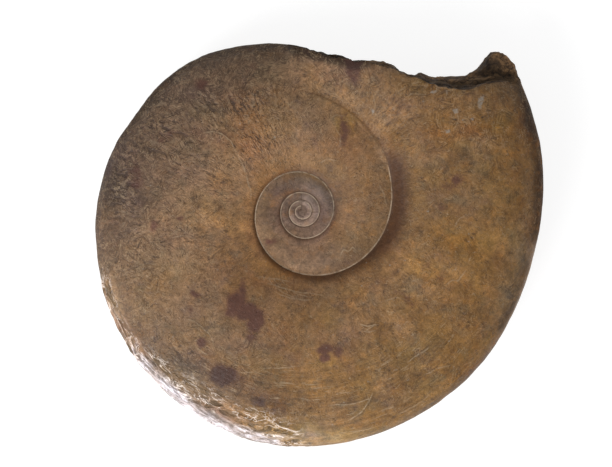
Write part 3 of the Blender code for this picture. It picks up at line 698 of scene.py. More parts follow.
def scratch_of(x, y):
    """Signed distance in mm to the nearest scratch, and how strong it is there. The sign keeps the line fine."""
    nearest, strength = np.full(len(x), 9.0), np.zeros(len(x))
    for line, amount in SCRATCHES:
        line = np.array(line, float)
        knots = np.concatenate([[0], np.cumsum(np.hypot(*np.diff(line, axis=0).T))])
        t = np.linspace(0, knots[-1], 40)
        fine = np.stack([np.interp(t, knots, line[:, 0]), np.interp(t, knots, line[:, 1])], axis=1)
        fine[1:-1] = (fine[:-2] + fine[1:-1] + fine[2:]) / 3
        middle = fine.mean(axis=0)
        here = np.flatnonzero(np.hypot(x - middle[0], y - middle[1]) < knots[-1] / 2 + 7)
        gap = np.stack([x[here], y[here]], axis=1)[:, None, :] - fine[None, :, :]
        far = np.hypot(gap[..., 0], gap[..., 1])
        pick = far.argmin(axis=1)
        run = np.gradient(fine, axis=0)
        run /= np.linalg.norm(run, axis=1)[:, None]
        g = gap[np.arange(len(here)), pick]
        across = run[pick, 0] * g[:, 1] - run[pick, 1] * g[:, 0]
        along = np.abs(run[pick, 0] * g[:, 0] + run[pick, 1] * g[:, 1])
        better = far.min(axis=1) < np.abs(nearest[here])
        chosen = here[better]
        nearest[chosen] = np.clip(across[better], -9, 9)
        strength[chosen] = (amount * smooth(1.6, 0.2, along) * np.minimum(1, 0.4 + 1.6 * np.sin(np.pi * pick / 39)))[better]
    return nearest, strength


def masks_of(p, marks):
    side, coil, r, height, angle = marks.T
    x, y = p[:, 0], p[:, 1]
    near = smooth(-8.0, 6.0, side * height)
    r_in, r_out = seam(coil), reach(coil)
    last = coil >= LAST_WHORL - 1e-6
    far_edge = np.where(last, np.maximum(venter(angle), 1.0), r_out)
    patch, cloud = Noise(5), Noise(6)
    wobble = patch.layers(p / 26.0, 3)
    drift = cloud.layers(p / 60.0, 2)
    m = {}

    m["golden"] = np.clip(
        0.42
        + 0.62 * (x * 0.87 - y * 0.49) / 130
        + 0.45 * spot(x, y, -36, -36, 34, 20, -42)
        + 0.25 * spot(x, y, -22, 16, 30, 45, 0)
        + 0.30 * spot(x, y, 20, -105, 70, 26, 4)
        + 0.25 * spot(x, y, 70, 30, 45, 35)
        + 0.35 * wobble
        - 0.75 * spot(x, y, -30, 112, 50, 22, -4),
        0, 1,
    )  # fmt: skip
    from_rim = far_edge - r
    shore = np.interp(angle % 360, [205, 216, 225, 236, 246, 262, 280], [6, 9, 15, 24, 30, 29, 31])
    crests = np.interp(angle % 360, [205, 216, 225, 236, 246, 262, 280], [6, 9, 12, 18, 21, 19, 12])
    # Partly the stone's dark patina, partly painted shade on the top, upper left and right rims, which face away from
    # the lamps.
    m["dark"] = np.clip(
        0.70 * sector(angle, 92, 178, 22) * smooth(44, 6, from_rim)
        + 0.35 * sector(angle, 110, 186, 25) * smooth(70, 20, from_rim)
        + 0.22 * sector(angle, 0, 40, 14) * smooth(30, 8, from_rim)
        + 1.0 * spot(x, y, -116, 24, 18, 32) + 0.35 * spot(x, y, -90, 62, 30, 24) + 0.3 * spot(x, y, -50, 84, 40, 20)
        + 0.30 * drift,
        0, 1,
    )  # fmt: skip
    torn = np.where(last & (angle > 388), outline_of_break(np.maximum(angle, 388)) - r, 99.0)
    # Partly the venter's dark patina, partly painted shade along the torn edge and the top, left, right and lower right
    # rims, which face away from the lamps.
    m["rim"] = last * np.clip(
        0.95 * sector(angle, 62, 90, 6) * smooth(9, 2.0, torn) +
        1.10 * sector(angle, -4, 33, 6) * smooth(14, 2.0, from_rim) ** 1.3 + 0.25 * sector(angle, 38, 44, 4) * smooth(6, 1.0, from_rim)
        + 0.58 * sector(angle, -30, -14, 3) * smooth(10, 4, from_rim) * smooth(0.5, 3.0, from_rim)
        + 1.0 * sector(angle, 96, 150, 16) * smooth(9, 0.5, from_rim)
        + 0.55 * sector(angle, 150, 196, 20) * smooth(5, 0.3, from_rim)
        + 0.10 * sector(angle, -62, -38, 8) * smooth(4, 0.5, from_rim),
        0, 1,
    )  # fmt: skip
    frayed = angle + 7.0 * patch.layers(p / 9.0 + 5.0, 3)
    # Painted highlight: a lilac-white sheen along the lower left rim, which faces the low window.
    m["painted_sheen"] = last * np.clip(sector(frayed, 226, 259, 8) * smooth(10, 2.5, from_rim) * smooth(-3, 10, side * height) * (1.0 + 0.6 * wobble), 0, 1)
    m["core"] = np.clip(
        smooth(24, 20.5, r)
        + 0.55 * smooth(46, 36, r) * (coil < LAST_WHORL) * sector(angle, 180, 290, 40)
        + 0.18 * (coil < LAST_WHORL),
        0, 1,
    )  # fmt: skip

    width = wall_width(coil)
    # Red-brown of the umbilical wall and the band below the seam: partly stain, partly painted shade in the hollow.
    m["wall"] = np.clip(
        smooth(width + 3.2, 0.45 * width, r - r_in) * last
        * (smooth(1028, 1064, coil) * (1 - smooth(1107, 1119, coil)))
        + 0.34 * smooth(6.5, 1, r - r_in) * last * smooth(860, 960, coil) * (1 - smooth(1100, 1116, coil)),
        0, 1,
    )  # fmt: skip
    outside = r - r_in
    reach_out = np.clip(0.10 * r_in, 0.35, 2.4)
    faint = 1 - 0.6 * smooth(1100, 1116, coil)
    # Painted shade: a dark band just outside each seam, where the outer whorl steps up.
    m["seam"] = np.exp(-outside / reach_out) * faint
    inside = seam(np.minimum(coil + 360, 1175)) - r
    covered = (coil < LAST_WHORL) & (coil + 360 <= 1175)
    next_faint = 1 - smooth(1100, 1116, coil + 360)
    lip_width = np.clip(0.014 * r_in + 0.30, 0.34, 0.9)
    # Pale line on each whorl's raised lip: partly pale mineral, partly painted highlight.
    m["lip"] = np.exp(-(((inside - lip_width) / lip_width) ** 2)) * covered * next_faint * (1 + 0.5 * smooth(16, 12, r))

    frill = np.zeros(len(p))
    for cx, cy, rx, ry, turn, strength in FRILLS:
        frill = np.maximum(frill, strength * spot(x, y, cx, cy, rx * 1.15, ry * 1.15, turn))
    m["frill"] = np.clip(frill * (1 + 0.4 * wobble) + 0.14 * sector(angle, 60, 200, 30) + 0.05, 0, 1) * smooth(22, 32, r)
    m["fibre"] = np.clip(
        sector(angle, 236, 312, 22) * smooth(88, 120, r) * (0.9 + 0.3 * wobble) + 0.15, 0, 1
    )
    m["crinkle"] = last * np.clip(
        (sector(frayed, 225, 265, 9) * smooth(1.25 * crests + 2, 0.6 * crests, from_rim) + 0.85 * sector(angle, 202, 224, 8) * smooth(9, 3.5, from_rim))
        * (0.9 + 0.6 * wobble) * smooth(-16, -2, side * height), 0, 1,
    )

    ragged = 1 + 0.55 * patch.layers(p / 5.0 + 9.0, 3)
    stain = np.zeros(len(p))
    for cx, cy, rx, ry, turn, strength in STAINS:
        stain = np.maximum(stain, strength * spot(x, y, cx, cy, rx * 1.1, ry * 1.1, turn))
    m["stain"] = np.clip(1.45 * stain * ragged, 0, 1) * near
    scuff = np.zeros(len(p))
    for cx, cy, rx, ry, turn, strength in SCUFFS:
        scuff = np.maximum(scuff, strength * spot(x, y, cx, cy, rx, ry, turn))
    m["scuff"] = scuff * near
    break_edge = np.where(side > 0, edge_near(angle), edge_far(angle))
    m["broken"] = broken(angle) * smooth(-0.8, 0.6, r - break_edge) * last
    # Brightness of the surface in doublings: partly the stone's own tone, partly painted light and painted shade.
    tone_light_and_shade = (
        0.40 * spot(x, y, -34, -2, 15, 34) - 0.04 + 0.6 * smooth(15, 4, r) + 0.38 * smooth(48, 22, r) * sector(angle, 130, 300, 30)
        + 0.26 * spot(x, y, 0, 40, 26, 10) - 0.18 * spot(x, y, -118, 22, 15, 30)
    )  # fmt: skip
    warp_x, warp_y = (patch.layers(p / 13.0 + shift, 3) * 7.0 for shift in (3.0, 8.0))
    for cx, cy, rx, ry, turn, amount in SHADES:
        tone_light_and_shade += amount * spot(x + warp_x, y + warp_y, cx, cy, rx * 1.1, ry * 1.1, turn)
    # Painted shade: darker bands along the top, right and lower right rims, which face away from the lamps.
    tone_light_and_shade -= last * 0.42 * sector(angle, 96, 172, 12) * smooth(17, 4, from_rim)
    tone_light_and_shade -= last * 0.45 * sector(angle, 4, 32, 6) * smooth(11, 2, from_rim)
    tone_light_and_shade -= last * 0.28 * sector(angle, -62, -36, 5) * smooth(7, 1.5, from_rim)
    tone_light_and_shade -= last * 0.20 * sector(angle, -29, -11, 3) * smooth(14, 6, from_rim) * smooth(1.5, 5, from_rim)
    # Painted light on the lower left rim, and painted shade in a crescent just inside it.
    tone_light_and_shade += last * 0.62 * sector(angle, 202, 226, 5) * smooth(13, 6, from_rim)
    tone_light_and_shade -= last * 0.55 * sector(angle, 212, 268, 12) * np.exp(-(((from_rim - shore) / (0.40 * shore + 3)) ** 2))
    tone_light_and_shade += 0.62 * smooth(-0.8, 0.8, x + 8.5 + 0.2 * warp_x) * spot(x, y, 6, 93, 22, 9)
    # Painted shade: a dark band along the torn edge and the flank's edge by the break, on the right side of the second
    # whorl and on the umbilical wall.
    tone_light_and_shade -= 1.2 * sector(angle, 68, 94, 3) * smooth(9.0, 5.0, torn - 0.8 * warp_x * 0.3)
    tone_light_and_shade -= 0.40 * sector(angle, 33, 60, 4) * smooth(16, 3, np.where(last & (angle > 388), edge_near(angle) - r, 99.0))
    tone_light_and_shade -= 0.28 * spot(x, y, 15, 15, 13, 8, -30) + 0.20 * spot(x, y, 66, 11, 7, 26)
    # Painted shade in the creases of the broken face.
    m["crease"] = m["broken"] * np.exp(-((np.minimum(*(line_gap(x, y, line) for line in CREASES)) / 1.25) ** 2))
    tone_light_and_shade -= 0.95 * m["crease"]
    # Painted light on the ledges and painted shade in the creases of the broken face.
    for cx, cy, rx, ry, turn, amount in BREAK_SHADES:
        tone_light_and_shade += amount * spot(x + 0.2 * warp_x, y + 0.2 * warp_y, cx, cy, rx, ry, turn)
    m["furrow"] = last * np.exp(-(((r - seam(coil) - 0.4) / 4.0) ** 2)) * smooth(1106, 1118, coil) * (1 - smooth(1158, 1174, coil))
    m["welt"] = last * np.exp(-(((r - seam(coil) - 7.5) / 4.2) ** 2)) * smooth(1106, 1118, coil) * (1 - smooth(1158, 1174, coil))
    # Painted light on the welt and painted shade in the furrow.
    tone_light_and_shade += 0.22 * m["welt"] * (1 + wobble) - 0.30 * m["furrow"] * (1 + 0.8 * wobble)
    m["tone_light_and_shade"] = np.clip(tone_light_and_shade, -1.6, 1.2) * near
    lean = np.ones((len(p), 3))
    for name, spots in LEANS.items():
        amount = np.zeros(len(p))
        for cx, cy, rx, ry, turn, strength in spots:
            amount += strength * spot(x + warp_x, y + warp_y, cx, cy, rx * 1.1, ry * 1.1, turn)
        if name == "rust":
            # Redder along the seams, the hue of the painted shade there.
            amount += 0.8 * np.exp(-outside / 4.0) * faint * smooth(8, 20, r)
        lean += (np.clip(amount, 0, 1.3) * near)[:, None] * np.array(TINT_OF[name])
    m["lean_r"], m["lean_g"], m["lean_b"] = lean.T
    m["thread"] = np.clip(
        0.24 + 0.72 * sector(angle, 84, 192, 30) * smooth(34, 60, r) - 0.24 * smooth(34, 24, r)
        + 0.16 * spot(x, y, 60, 70, 60, 30) + 0.45 * spot(x, y, 112, 62, 30, 24) + 0.8 * cloud.layers(p / 22.0, 3),
        0, 1,
    )  # fmt: skip
    m["calm"] = np.clip(
        spot(x, y, -103, 13, 7, 13, 0) + spot(x, y, -126, -12, 8, 16) + 0.7 * spot(x, y, 90, -6, 30, 14)
        + 0.6 * spot(x, y, 20, 70, 16, 12), 0, 1,
    )  # fmt: skip
    m["scratch"], m["scored"] = scratch_of(x + 0.25 * warp_x, y + 0.25 * warp_y)
    m["scored"] *= near
    foot = np.where(last & (angle > 388), outline_of_break(np.maximum(angle, 388)), r + 1)
    m["ledge"] = np.where(m["broken"] > 0.01, np.clip((r - break_edge) / np.maximum(foot - break_edge, 0.8), 0, 1), 0.0)
    for name in ("golden", "dark", "frill", "fibre"):
        m[name] = np.where(side > 0, m[name], 0.55 * m[name] + 0.2)
    return m


def relief_of(p, marks, m):
    """How far each point of the surface stands proud, in mm."""
    side, coil, r, height, angle = marks.T
    a, b, c = Noise(11), Noise(12), Noise(13)
    shell = shell_of(p, marks)
    calm = smooth(6, 45, r)
    stone = 1 - m["broken"]
    h = 0.75 * a.layers(p / 52.0, 2) * calm
    h += 0.42 * b.layers(p / 17.0, 2) * (0.3 + 0.7 * calm)
    h += 0.20 * c.layers(p / 6.0, 2) * (0.25 + 0.75 * calm)
    # Low folds that cross the last whorl near its end.
    fold = np.sin(np.radians(turn_gap(angle, 0) * 24 + 0.35 * r * 3))
    h += 0.60 * fold * sector(angle, 296, 350, 12) * smooth(80, 95, r) * smooth(150, 132, r) * (side > 0)
    # Frilled suture relief: ripples that run outwards.
    outwards = shell * np.array([1.0, 1.0, 0.24])
    h += 0.34 * m["frill"] * b(outwards / 2.9) * (1 - 0.8 * m["calm"])
    # Crinkled sheets at the lower left rim, drawn out along the whorl.
    along = shell * np.array([0.30, 0.30, 1.0])
    creased = 1 - np.abs(c.layers(along / 4.2, 2)) * 2.4
    h += m["crinkle"] * (1.7 * (creased - 0.45) + 0.45 * b(along / 1.9))
    # Long shallow striae along the whorl.
    h += 0.16 * m["fibre"] * b.layers(shell * np.array([0.10, 0.10, 1.0]) / 2.6, 2)
    # Bright lips along the seams, and the trace of the seam past the torn end of the whorl.
    h += 0.16 * m["lip"]
    h += 0.3 * m["welt"] - 0.3 * m["furrow"]
    h *= stone
    # The broken face.
    strata = np.abs(np.sin(p[:, 2] * 0.42 + 2.4 * a.layers(p / 18.0, 2))) - 0.6
    facets = 0.8 - 2.6 * np.abs(b.layers(p / 11.0, 2, 0.45))
    rough = 1.5 * a.layers(p / 14.0, 2) + 1.6 * facets + 1.0 * strata + 0.7 * c.layers(p / 4.0, 2)
    h += m["broken"] * (1 - smooth(446.5, 452, angle)) * (rough - 1.1)
    h -= 1.6 * m["crease"]
    return h


R0 = 100.0


def shell_of(p, marks):
    """Conformal coordinates over the shell: features in them grow with the whorl. No join at any angle."""
    side, coil, r, height, angle = marks.T
    a = np.radians(angle)
    r = np.maximum(r, 2.0)
    up = R0 * np.log(r / 2.0) + (R0 / np.maximum(r, 6.0)) * (half_thickness(coil) - side * height)
    return np.stack([R0 * np.cos(a), R0 * np.sin(a), up], axis=1)


def build_ammonite():
    points, marks, faces = build_loft()
    m = masks_of(points, marks)
    points = undercut_knob(level_core(soften_seams(points, marks, faces), marks), marks)
    mesh = mesh_of(points, faces)
    normal = normals_of(mesh)
    h = relief_of(points, marks, m)
    points = points + normal * h[:, None]
    points[:, 2] = np.maximum(points[:, 2], 0.0)
    shell = shell_of(points, marks)
    world = (points + np.array([COIL_AXIS[0], COIL_AXIS[1], 0.0])) * MM
    mesh.vertices.foreach_set("co", world.ravel())
    groups = {
        "tones": ("golden", "dark", "core"),
        "seams": ("wall", "seam", "lip"),
        "grain": ("frill", "fibre", "crinkle"),
        "marks": ("stain", "scuff", "broken"),
        "edges": ("rim", "painted_sheen", "calm"),
        "extra": ("tone_light_and_shade", "thread", "ledge"),
        "lean": ("lean_r", "lean_g", "lean_b"),
        "score": ("scratch", "scored", "furrow"),
    }
    for name, parts in groups.items():
        layer = mesh.attributes.new(name, "FLOAT_VECTOR", "POINT")
        layer.data.foreach_set("vector", np.stack([m[k] for k in parts], axis=1).astype(np.float32).ravel())
    layer = mesh.attributes.new("shell", "FLOAT_VECTOR", "POINT")
    layer.data.foreach_set("vector", shell.astype(np.float32).ravel())
    mesh.update()
    mesh.validate()
    mesh.shade_smooth()
    mesh.set_sharp_from_angle(angle=math.radians(62))
    obj = bpy.data.objects.new("ammonite_stone", mesh)
    bpy.context.scene.collection.objects.link(obj)
    return obj


# ------------------------------------------------------------------ material
class Graph:
    """Small helpers over a node tree."""

    def __init__(self, name):
        self.material = bpy.data.materials.new(name)
        self.material.use_nodes = True
        self.tree = self.material.node_tree
        self.shader = self.tree.nodes["Principled BSDF"]

    def new(self, kind):
        return self.tree.nodes.new(kind)

    def put(self, socket, value):
        if isinstance(value, bpy.types.NodeSocket):
            self.tree.links.new(value, socket)
        else:
            socket.default_value = value

    def math(self, operation, a, b=0.0, clamp=False):
        node = self.new("ShaderNodeMath")
        node.operation = operation
        node.use_clamp = clamp
        self.put(node.inputs[0], a)
        self.put(node.inputs[1], b)
        return node.outputs[0]

    def add(self, a, b):
        return self.math("ADD", a, b)

    def sub(self, a, b):
        return self.math("SUBTRACT", a, b)

    def mul(self, a, b):
        return self.math("MULTIPLY", a, b)

    def vector(self, operation, a, b):
        node = self.new("ShaderNodeVectorMath")
        node.operation = operation
        self.put(node.inputs[0], a)
        if operation == "SCALE":
            self.put(node.inputs["Scale"], b)
        else:
            self.put(node.inputs[1], b)
        return node.outputs[0]

    def span(self, value, low, high, to_low=0.0, to_high=1.0, smoothly=True):
        node = self.new("ShaderNodeMapRange")
        node.interpolation_type = "SMOOTHSTEP" if smoothly else "LINEAR"
        node.clamp = True
        self.put(node.inputs["Value"], value)
        self.put(node.inputs["From Min"], low)
        self.put(node.inputs["From Max"], high)
        self.put(node.inputs["To Min"], to_low)
        self.put(node.inputs["To Max"], to_high)
        return node.outputs[0]

    def noise(self, vector, size, detail=2.0, roughness=0.5, distortion=0.0, colour=False):
        """Noise whose features are size mm across."""
        node = self.new("ShaderNodeTexNoise")
        self.put(node.inputs["Vector"], vector)
        node.inputs["Scale"].default_value = 1.0 / size
        node.inputs["Detail"].default_value = detail
        node.inputs["Roughness"].default_value = roughness
        node.inputs["Distortion"].default_value = distortion
        return node.outputs["Color" if colour else "Fac"]

    def cells(self, vector, size, feature="F1", randomness=1.0):
        node = self.new("ShaderNodeTexVoronoi")
        node.feature = feature
        self.put(node.inputs["Vector"], vector)
        node.inputs["Scale"].default_value = 1.0 / size
        node.inputs["Randomness"].default_value = randomness
        return node

    def mix(self, factor, a, b, blend="MIX"):
        node = self.new("ShaderNodeMix")
        node.data_type = "RGBA"
        node.blend_type = blend
        node.clamp_factor = True
        self.put(node.inputs[0], factor)
        self.put(node.inputs[6], a if isinstance(a, bpy.types.NodeSocket) else (*a, 1.0))
        self.put(node.inputs[7], b if isinstance(b, bpy.types.NodeSocket) else (*b, 1.0))
        return node.outputs[2]

    def shade(self, colour, factor):
        """Colour times a number."""
        return self.vector("SCALE", colour, factor)

    def mask(self, name):
        node = self.new("ShaderNodeAttribute")
        node.attribute_name = name
        split = self.new("ShaderNodeSeparateXYZ")
        self.put(split.inputs[0], node.outputs["Vector"])
        return split.outputs

    def lines(self, field, level, half_width):
        """1 along the contour of a field at that level."""
        gap = self.math("ABSOLUTE", self.sub(field, level))
        return self.span(gap, 0.0, half_width, 1.0, 0.0)


GOLD = (0.232, 0.124, 0.042)
TAN = (0.212, 0.130, 0.072)
UMBER = (0.122, 0.080, 0.055)
GREY = (0.215, 0.148, 0.112)
RUST = (0.178, 0.088, 0.045)
MOSS = (0.138, 0.103, 0.062)
RED = (0.086, 0.039, 0.019)
STAIN = (0.102, 0.045, 0.035)
ROCK = (0.074, 0.046, 0.027)
PALE = (0.37, 0.285, 0.19)
DUST = (0.30, 0.295, 0.285)
PIT = (0.060, 0.036, 0.024)
SEAM_SHADE_BROWN = (0.075, 0.040, 0.022)
LILAC_SHEEN = (0.90, 0.92, 1.12)


def stone_material():
    g = Graph("limestone_mould")
    where = g.new("ShaderNodeTexCoord").outputs["Object"]
    p = g.vector("SCALE", where, 1000.0)
    shell_node = g.new("ShaderNodeAttribute")
    shell_node.attribute_name = "shell"
    q = shell_node.outputs["Vector"]
    split = g.new("ShaderNodeSeparateXYZ")
    g.put(split.inputs[0], q)
    up = split.outputs["Z"]
    golden, dark, core = g.mask("tones")
    wall, seam_shade, lip = g.mask("seams")
    frill, fibre, crinkle = g.mask("grain")
    stain, scuff, broken_face = g.mask("marks")
    rim, painted_sheen, calm = g.mask("edges")
    tone_light_and_shade, threads, ledge = g.mask("extra")

    def moved(x, y, z):
        return g.vector("ADD", p, (x, y, z))

    def turned(share):
        """Shell coordinates wound so that lines of constant plan angle run aslant."""
        node = g.new("ShaderNodeVectorRotate")
        node.rotation_type = "Z_AXIS"
        g.put(node.inputs["Vector"], q)
        g.put(node.inputs["Angle"], g.mul(up, share / R0))
        return node.outputs[0]

    # Ground colour: large patches of ochre, tan, rust, moss and umber.
    drift = g.noise(p, 46.0, 3.0, 0.55)
    cloud = g.noise(moved(31, 7, 3), 17.0, 3.5, 0.62)
    blotch = g.noise(moved(3, 71, 13), 7.5, 3.0, 0.62)
    fleck = g.noise(moved(13, 1, 93), 3.2, 3.0, 0.65)
    gold_mix = g.math("ADD", golden, g.mul(g.sub(cloud, 0.5), 1.8), clamp=True)
    colour = g.mix(gold_mix, TAN, GOLD)
    rust = g.span(g.noise(moved(90, 20, 0), 21.0, 4.5, 0.66), 0.50, 0.70)
    colour = g.mix(g.mul(rust, 0.50), colour, RUST)
    moss = g.span(g.noise(moved(0, 150, 5), 13.0, 4.5, 0.66), 0.50, 0.70)
    colour = g.mix(g.mul(moss, 0.50), colour, MOSS)
    colour = g.mix(g.mul(core, 0.9), colour, GREY)
    # Umber: partly dark patina, partly painted shade on the rims that face away from the lamps.
    patina_and_shade_mix = g.math("ADD", dark, g.mul(g.sub(cloud, 0.5), 0.6), clamp=True)
    colour = g.mix(g.mul(patina_and_shade_mix, 0.85), colour, UMBER)
    # Near-black brown of the rims: partly dark patina, partly painted shade.
    rim_patina_and_shade_mix = g.math("ADD", rim, g.mul(g.mul(g.sub(cloud, 0.5), rim), 1.2), clamp=True)
    rim_patina_and_shade_tone = g.mix(g.span(blotch, 0.56, 0.70), (0.050, 0.025, 0.008), (0.058, 0.037, 0.019))
    colour = g.mix(g.mul(rim_patina_and_shade_mix, 0.92), colour, rim_patina_and_shade_tone)
    value = g.add(g.mul(g.sub(drift, 0.5), 0.95), g.mul(g.sub(blotch, 0.5), 1.15))
    value = g.add(value, g.mul(g.sub(fleck, 0.5), 0.75))
    orange = g.span(g.noise(moved(8, 8, 50), 9.0, 4.0, 0.66), 0.50, 0.66)
    colour = g.mix(g.mul(g.mul(orange, gold_mix), 0.50), colour, (0.262, 0.120, 0.030))
    plum = g.span(g.noise(moved(80, 8, 5), 10.0, 4.0, 0.68), 0.54, 0.72)
    colour = g.mix(g.mul(plum, g.sub(0.62, g.mul(gold_mix, 0.35))), colour, (0.112, 0.068, 0.058))
    colour = g.shade(colour, g.math("MAXIMUM", g.add(value, 1.0), 0.3))
    # Painted light and painted shade, with the stone's own tone, as one brightness factor.
    tone_light_and_shade_factor = g.math("POWER", 2.0, tone_light_and_shade)
    colour = g.shade(colour, tone_light_and_shade_factor)
    lean = g.new("ShaderNodeAttribute")
    lean.attribute_name = "lean"
    colour = g.vector("MULTIPLY", colour, lean.outputs["Vector"])

    # Short strands that cross the surface in drifts of one direction, over a crust of grains.
    radial = g.noise(g.vector("MULTIPLY", q, (1.0, 1.0, 0.28)), 1.5, 2.0, 0.66, 0.5)
    slant = g.noise(g.vector("MULTIPLY", turned(0.9), (1.0, 1.0, 0.28)), 1.35, 2.0, 0.66, 0.5)
    back = g.noise(g.vector("MULTIPLY", turned(-1.1), (1.0, 1.0, 0.28)), 1.4, 2.0, 0.66, 0.5)
    along = g.noise(g.vector("MULTIPLY", q, (0.28, 0.28, 1.0)), 1.35, 2.0, 0.66, 0.5)
    pick = g.noise(moved(60, 60, 0), 8.0, 2.5, 0.7)
    pick_too = g.noise(moved(0, 60, 60), 7.0, 2.5, 0.7)

    def choose(factor, one, two):
        return g.add(g.mul(one, g.sub(1.0, factor)), g.mul(two, factor))

    first = choose(g.span(pick, 0.45, 0.55), radial, slant)
    second = choose(g.span(pick, 0.47, 0.57), back, along)
    strand = choose(g.span(pick_too, 0.46, 0.56), first, second)
    presence = g.span(g.noise(moved(44, 0, 0), 7.0, 3.0, 0.65), 0.34, 0.66, 0.30, 1.0)
    presence = g.mul(presence, g.sub(1.0, g.mul(calm, 0.65)))
    presence = g.mul(presence, g.sub(1.0, g.mul(core, 0.30)))
    crust = g.noise(moved(21, 12, 5), 2.4, 4.0, 0.78, 0.9)
    presence = g.mul(presence, g.add(0.35, g.mul(threads, 1.0)))
    # Brighter where the strands stand high and darker where they lie low: painted light and shade of their relief.
    colour = g.shade(colour, g.add(1.0, g.mul(g.mul(g.sub(strand, 0.5), presence), 2.0)))
    colour = g.shade(colour, g.add(1.0, g.mul(g.sub(crust, 0.5), 1.2)))
    thread = g.mul(g.lines(strand, 0.57, 0.040), presence)
    colour = g.mix(g.mul(thread, 0.52), colour, PALE)
    # Painted shade in the gullies between the strands.
    gully = g.mul(g.span(strand, 0.45, 0.32), presence)
    colour = g.mix(g.mul(gully, 0.55), colour, PIT)
    # Darker where the crust lies low.
    crust_low = g.span(crust, 0.40, 0.28)
    colour = g.mix(g.mul(crust_low, 0.45), colour, PIT)
    grain = g.noise(p, 0.9, 2.0, 0.6)
    colour = g.shade(colour, g.span(grain, 0.25, 0.75, 0.86, 1.14, False))

    # Growth lines that cross the inner whorls.
    rib = g.noise(g.vector("MULTIPLY", q, (1.0, 1.0, 0.05)), 7.0, 1.0, 0.5)
    rib_line = g.mul(g.mul(g.span(rib, 0.46, 0.36), core), g.span(g.noise(moved(5, 5, 5), 5.0, 1.0), 0.42, 0.58))
    colour = g.mix(g.mul(rib_line, 0.40), colour, (0.105, 0.066, 0.050))

    # Frilled sutures: deep dark ripples that run outwards, in patches; the dark grooves are painted shade and the pale
    # crests painted light.
    swerve = g.vector("SUBTRACT", g.noise(q, 8.0, 2.0, 0.6, colour=True), (0.5, 0.5, 0.5))
    bent = g.vector("ADD", q, g.vector("SCALE", swerve, 5.0))
    ripple = g.noise(g.vector("MULTIPLY", bent, (1.0, 1.0, 0.34)), 2.3, 2.0, 0.55)
    frill_here = g.math("ADD", frill, g.mul(g.mul(g.sub(cloud, 0.5), frill), 1.0), clamp=True)
    groove = g.mul(g.span(ripple, 0.50, 0.36), frill_here)
    crest = g.mul(g.span(ripple, 0.54, 0.66), frill_here)
    colour = g.mix(g.mul(groove, 0.80), colour, (0.045, 0.029, 0.025))
    colour = g.mix(g.mul(crest, 0.42), colour, (0.28, 0.22, 0.165))

    # Thin pale squiggles and dark hairlines.
    wander = g.vector("SUBTRACT", g.noise(p, 6.0, 2.0, 0.6, colour=True), (0.5, 0.5, 0.5))
    loose = g.vector("ADD", p, g.vector("SCALE", wander, 7.0))
    squiggle = g.lines(g.noise(g.vector("ADD", loose, (5.0, 60.0, 2.0)), 5.5, 1.5, 0.6), 0.5, 0.016)
    squiggle = g.mul(squiggle, g.span(g.noise(moved(7, 7, 7), 5.0, 1.0), 0.54, 0.62))
    crack = g.lines(g.noise(g.vector("ADD", loose, (77.0, 3.0, 41.0)), 9.0, 2.5, 0.65), 0.5, 0.012)
    crack = g.mul(crack, g.span(g.noise(moved(9, 9, 9), 8.0, 1.0), 0.54, 0.62))
    colour = g.mix(g.mul(squiggle, 0.50), colour, PALE)
    colour = g.mix(g.mul(crack, 0.50), colour, PIT)

    scratch, scored, _ = g.mask("score")
    scored_line = g.span(g.math("ABSOLUTE", scratch), 0.10, 0.62, 1.0, 0.0)
    scored_line = g.mul(g.mul(scored_line, scored), g.span(g.noise(moved(4, 44, 4), 3.0, 1.0), 0.36, 0.52, 0.35, 1.0))
    colour = g.mix(g.mul(scored_line, 0.85), colour, (0.36, 0.29, 0.21))
    scored_shadow = g.mul(g.span(scratch, 0.5, 0.95), g.span(scratch, 1.7, 1.0))
    colour = g.mix(g.mul(g.mul(scored_shadow, scored), 0.40), colour, PIT)

    # Fibres along the whorl.
    stretched = g.vector("MULTIPLY", q, (0.070, 0.070, 1.0))
    strands = g.noise(stretched, 1.5, 2.5, 0.6)
    fibre_here = g.mul(fibre, g.span(cloud, 0.36, 0.58, 0.35, 1.0))
    colour = g.shade(colour, g.add(1.0, g.mul(g.mul(g.sub(strands, 0.5), fibre_here), 1.2)))
    strand_line = g.lines(g.noise(g.vector("ADD", stretched, (8.0, 2.0, 60.0)), 2.4, 1.0), 0.5, 0.022)
    strand_line = g.mul(g.mul(strand_line, fibre), g.span(g.noise(p, 8.0, 1.0), 0.50, 0.60))
    colour = g.mix(g.mul(strand_line, 0.55), colour, PALE)

    # Pits.
    pit_cells = g.cells(p, 3.4)
    pit = g.span(pit_cells.outputs["Distance"], 0.10, 0.28, 1.0, 0.0)
    pit = g.mul(pit, g.span(g.noise(moved(2, 4, 6), 3.1, 0.0), 0.62, 0.70))
    colour = g.mix(g.mul(pit, 0.5), colour, PIT)

    # Umbilical wall, seams and lips: the wall's red-brown is partly stain and partly painted shade in its hollow, the
    # dark band outside each seam is painted shade, and the pale lips are partly pale mineral and partly painted
    # highlight.
    # The wall's red-brown: partly stain, partly painted shade in its hollow.
    wall_stain_and_shade_mix = g.math("ADD", wall, g.mul(g.mul(g.sub(blotch, 0.5), wall), 1.2), clamp=True)
    red = g.shade(RED, g.mul(g.add(0.42, g.mul(fleck, 0.90)), tone_light_and_shade_factor))
    colour = g.mix(g.mul(wall_stain_and_shade_mix, 0.95), colour, red)
    seam_shade_mix = g.mul(g.span(seam_shade, 0.10, 1.0), g.span(blotch, 0.30, 0.60, 0.6, 1.0))
    colour = g.mix(g.mul(seam_shade_mix, 0.62), colour, SEAM_SHADE_BROWN)
    # Pale lips: partly pale mineral, partly painted highlight.
    lip_mix = g.mul(g.span(lip, 0.30, 0.9), g.span(g.noise(p, 4.0, 2.0), 0.35, 0.6, 0.30, 1.0))
    colour = g.mix(g.mul(lip_mix, 0.70), colour, (0.50, 0.42, 0.34))

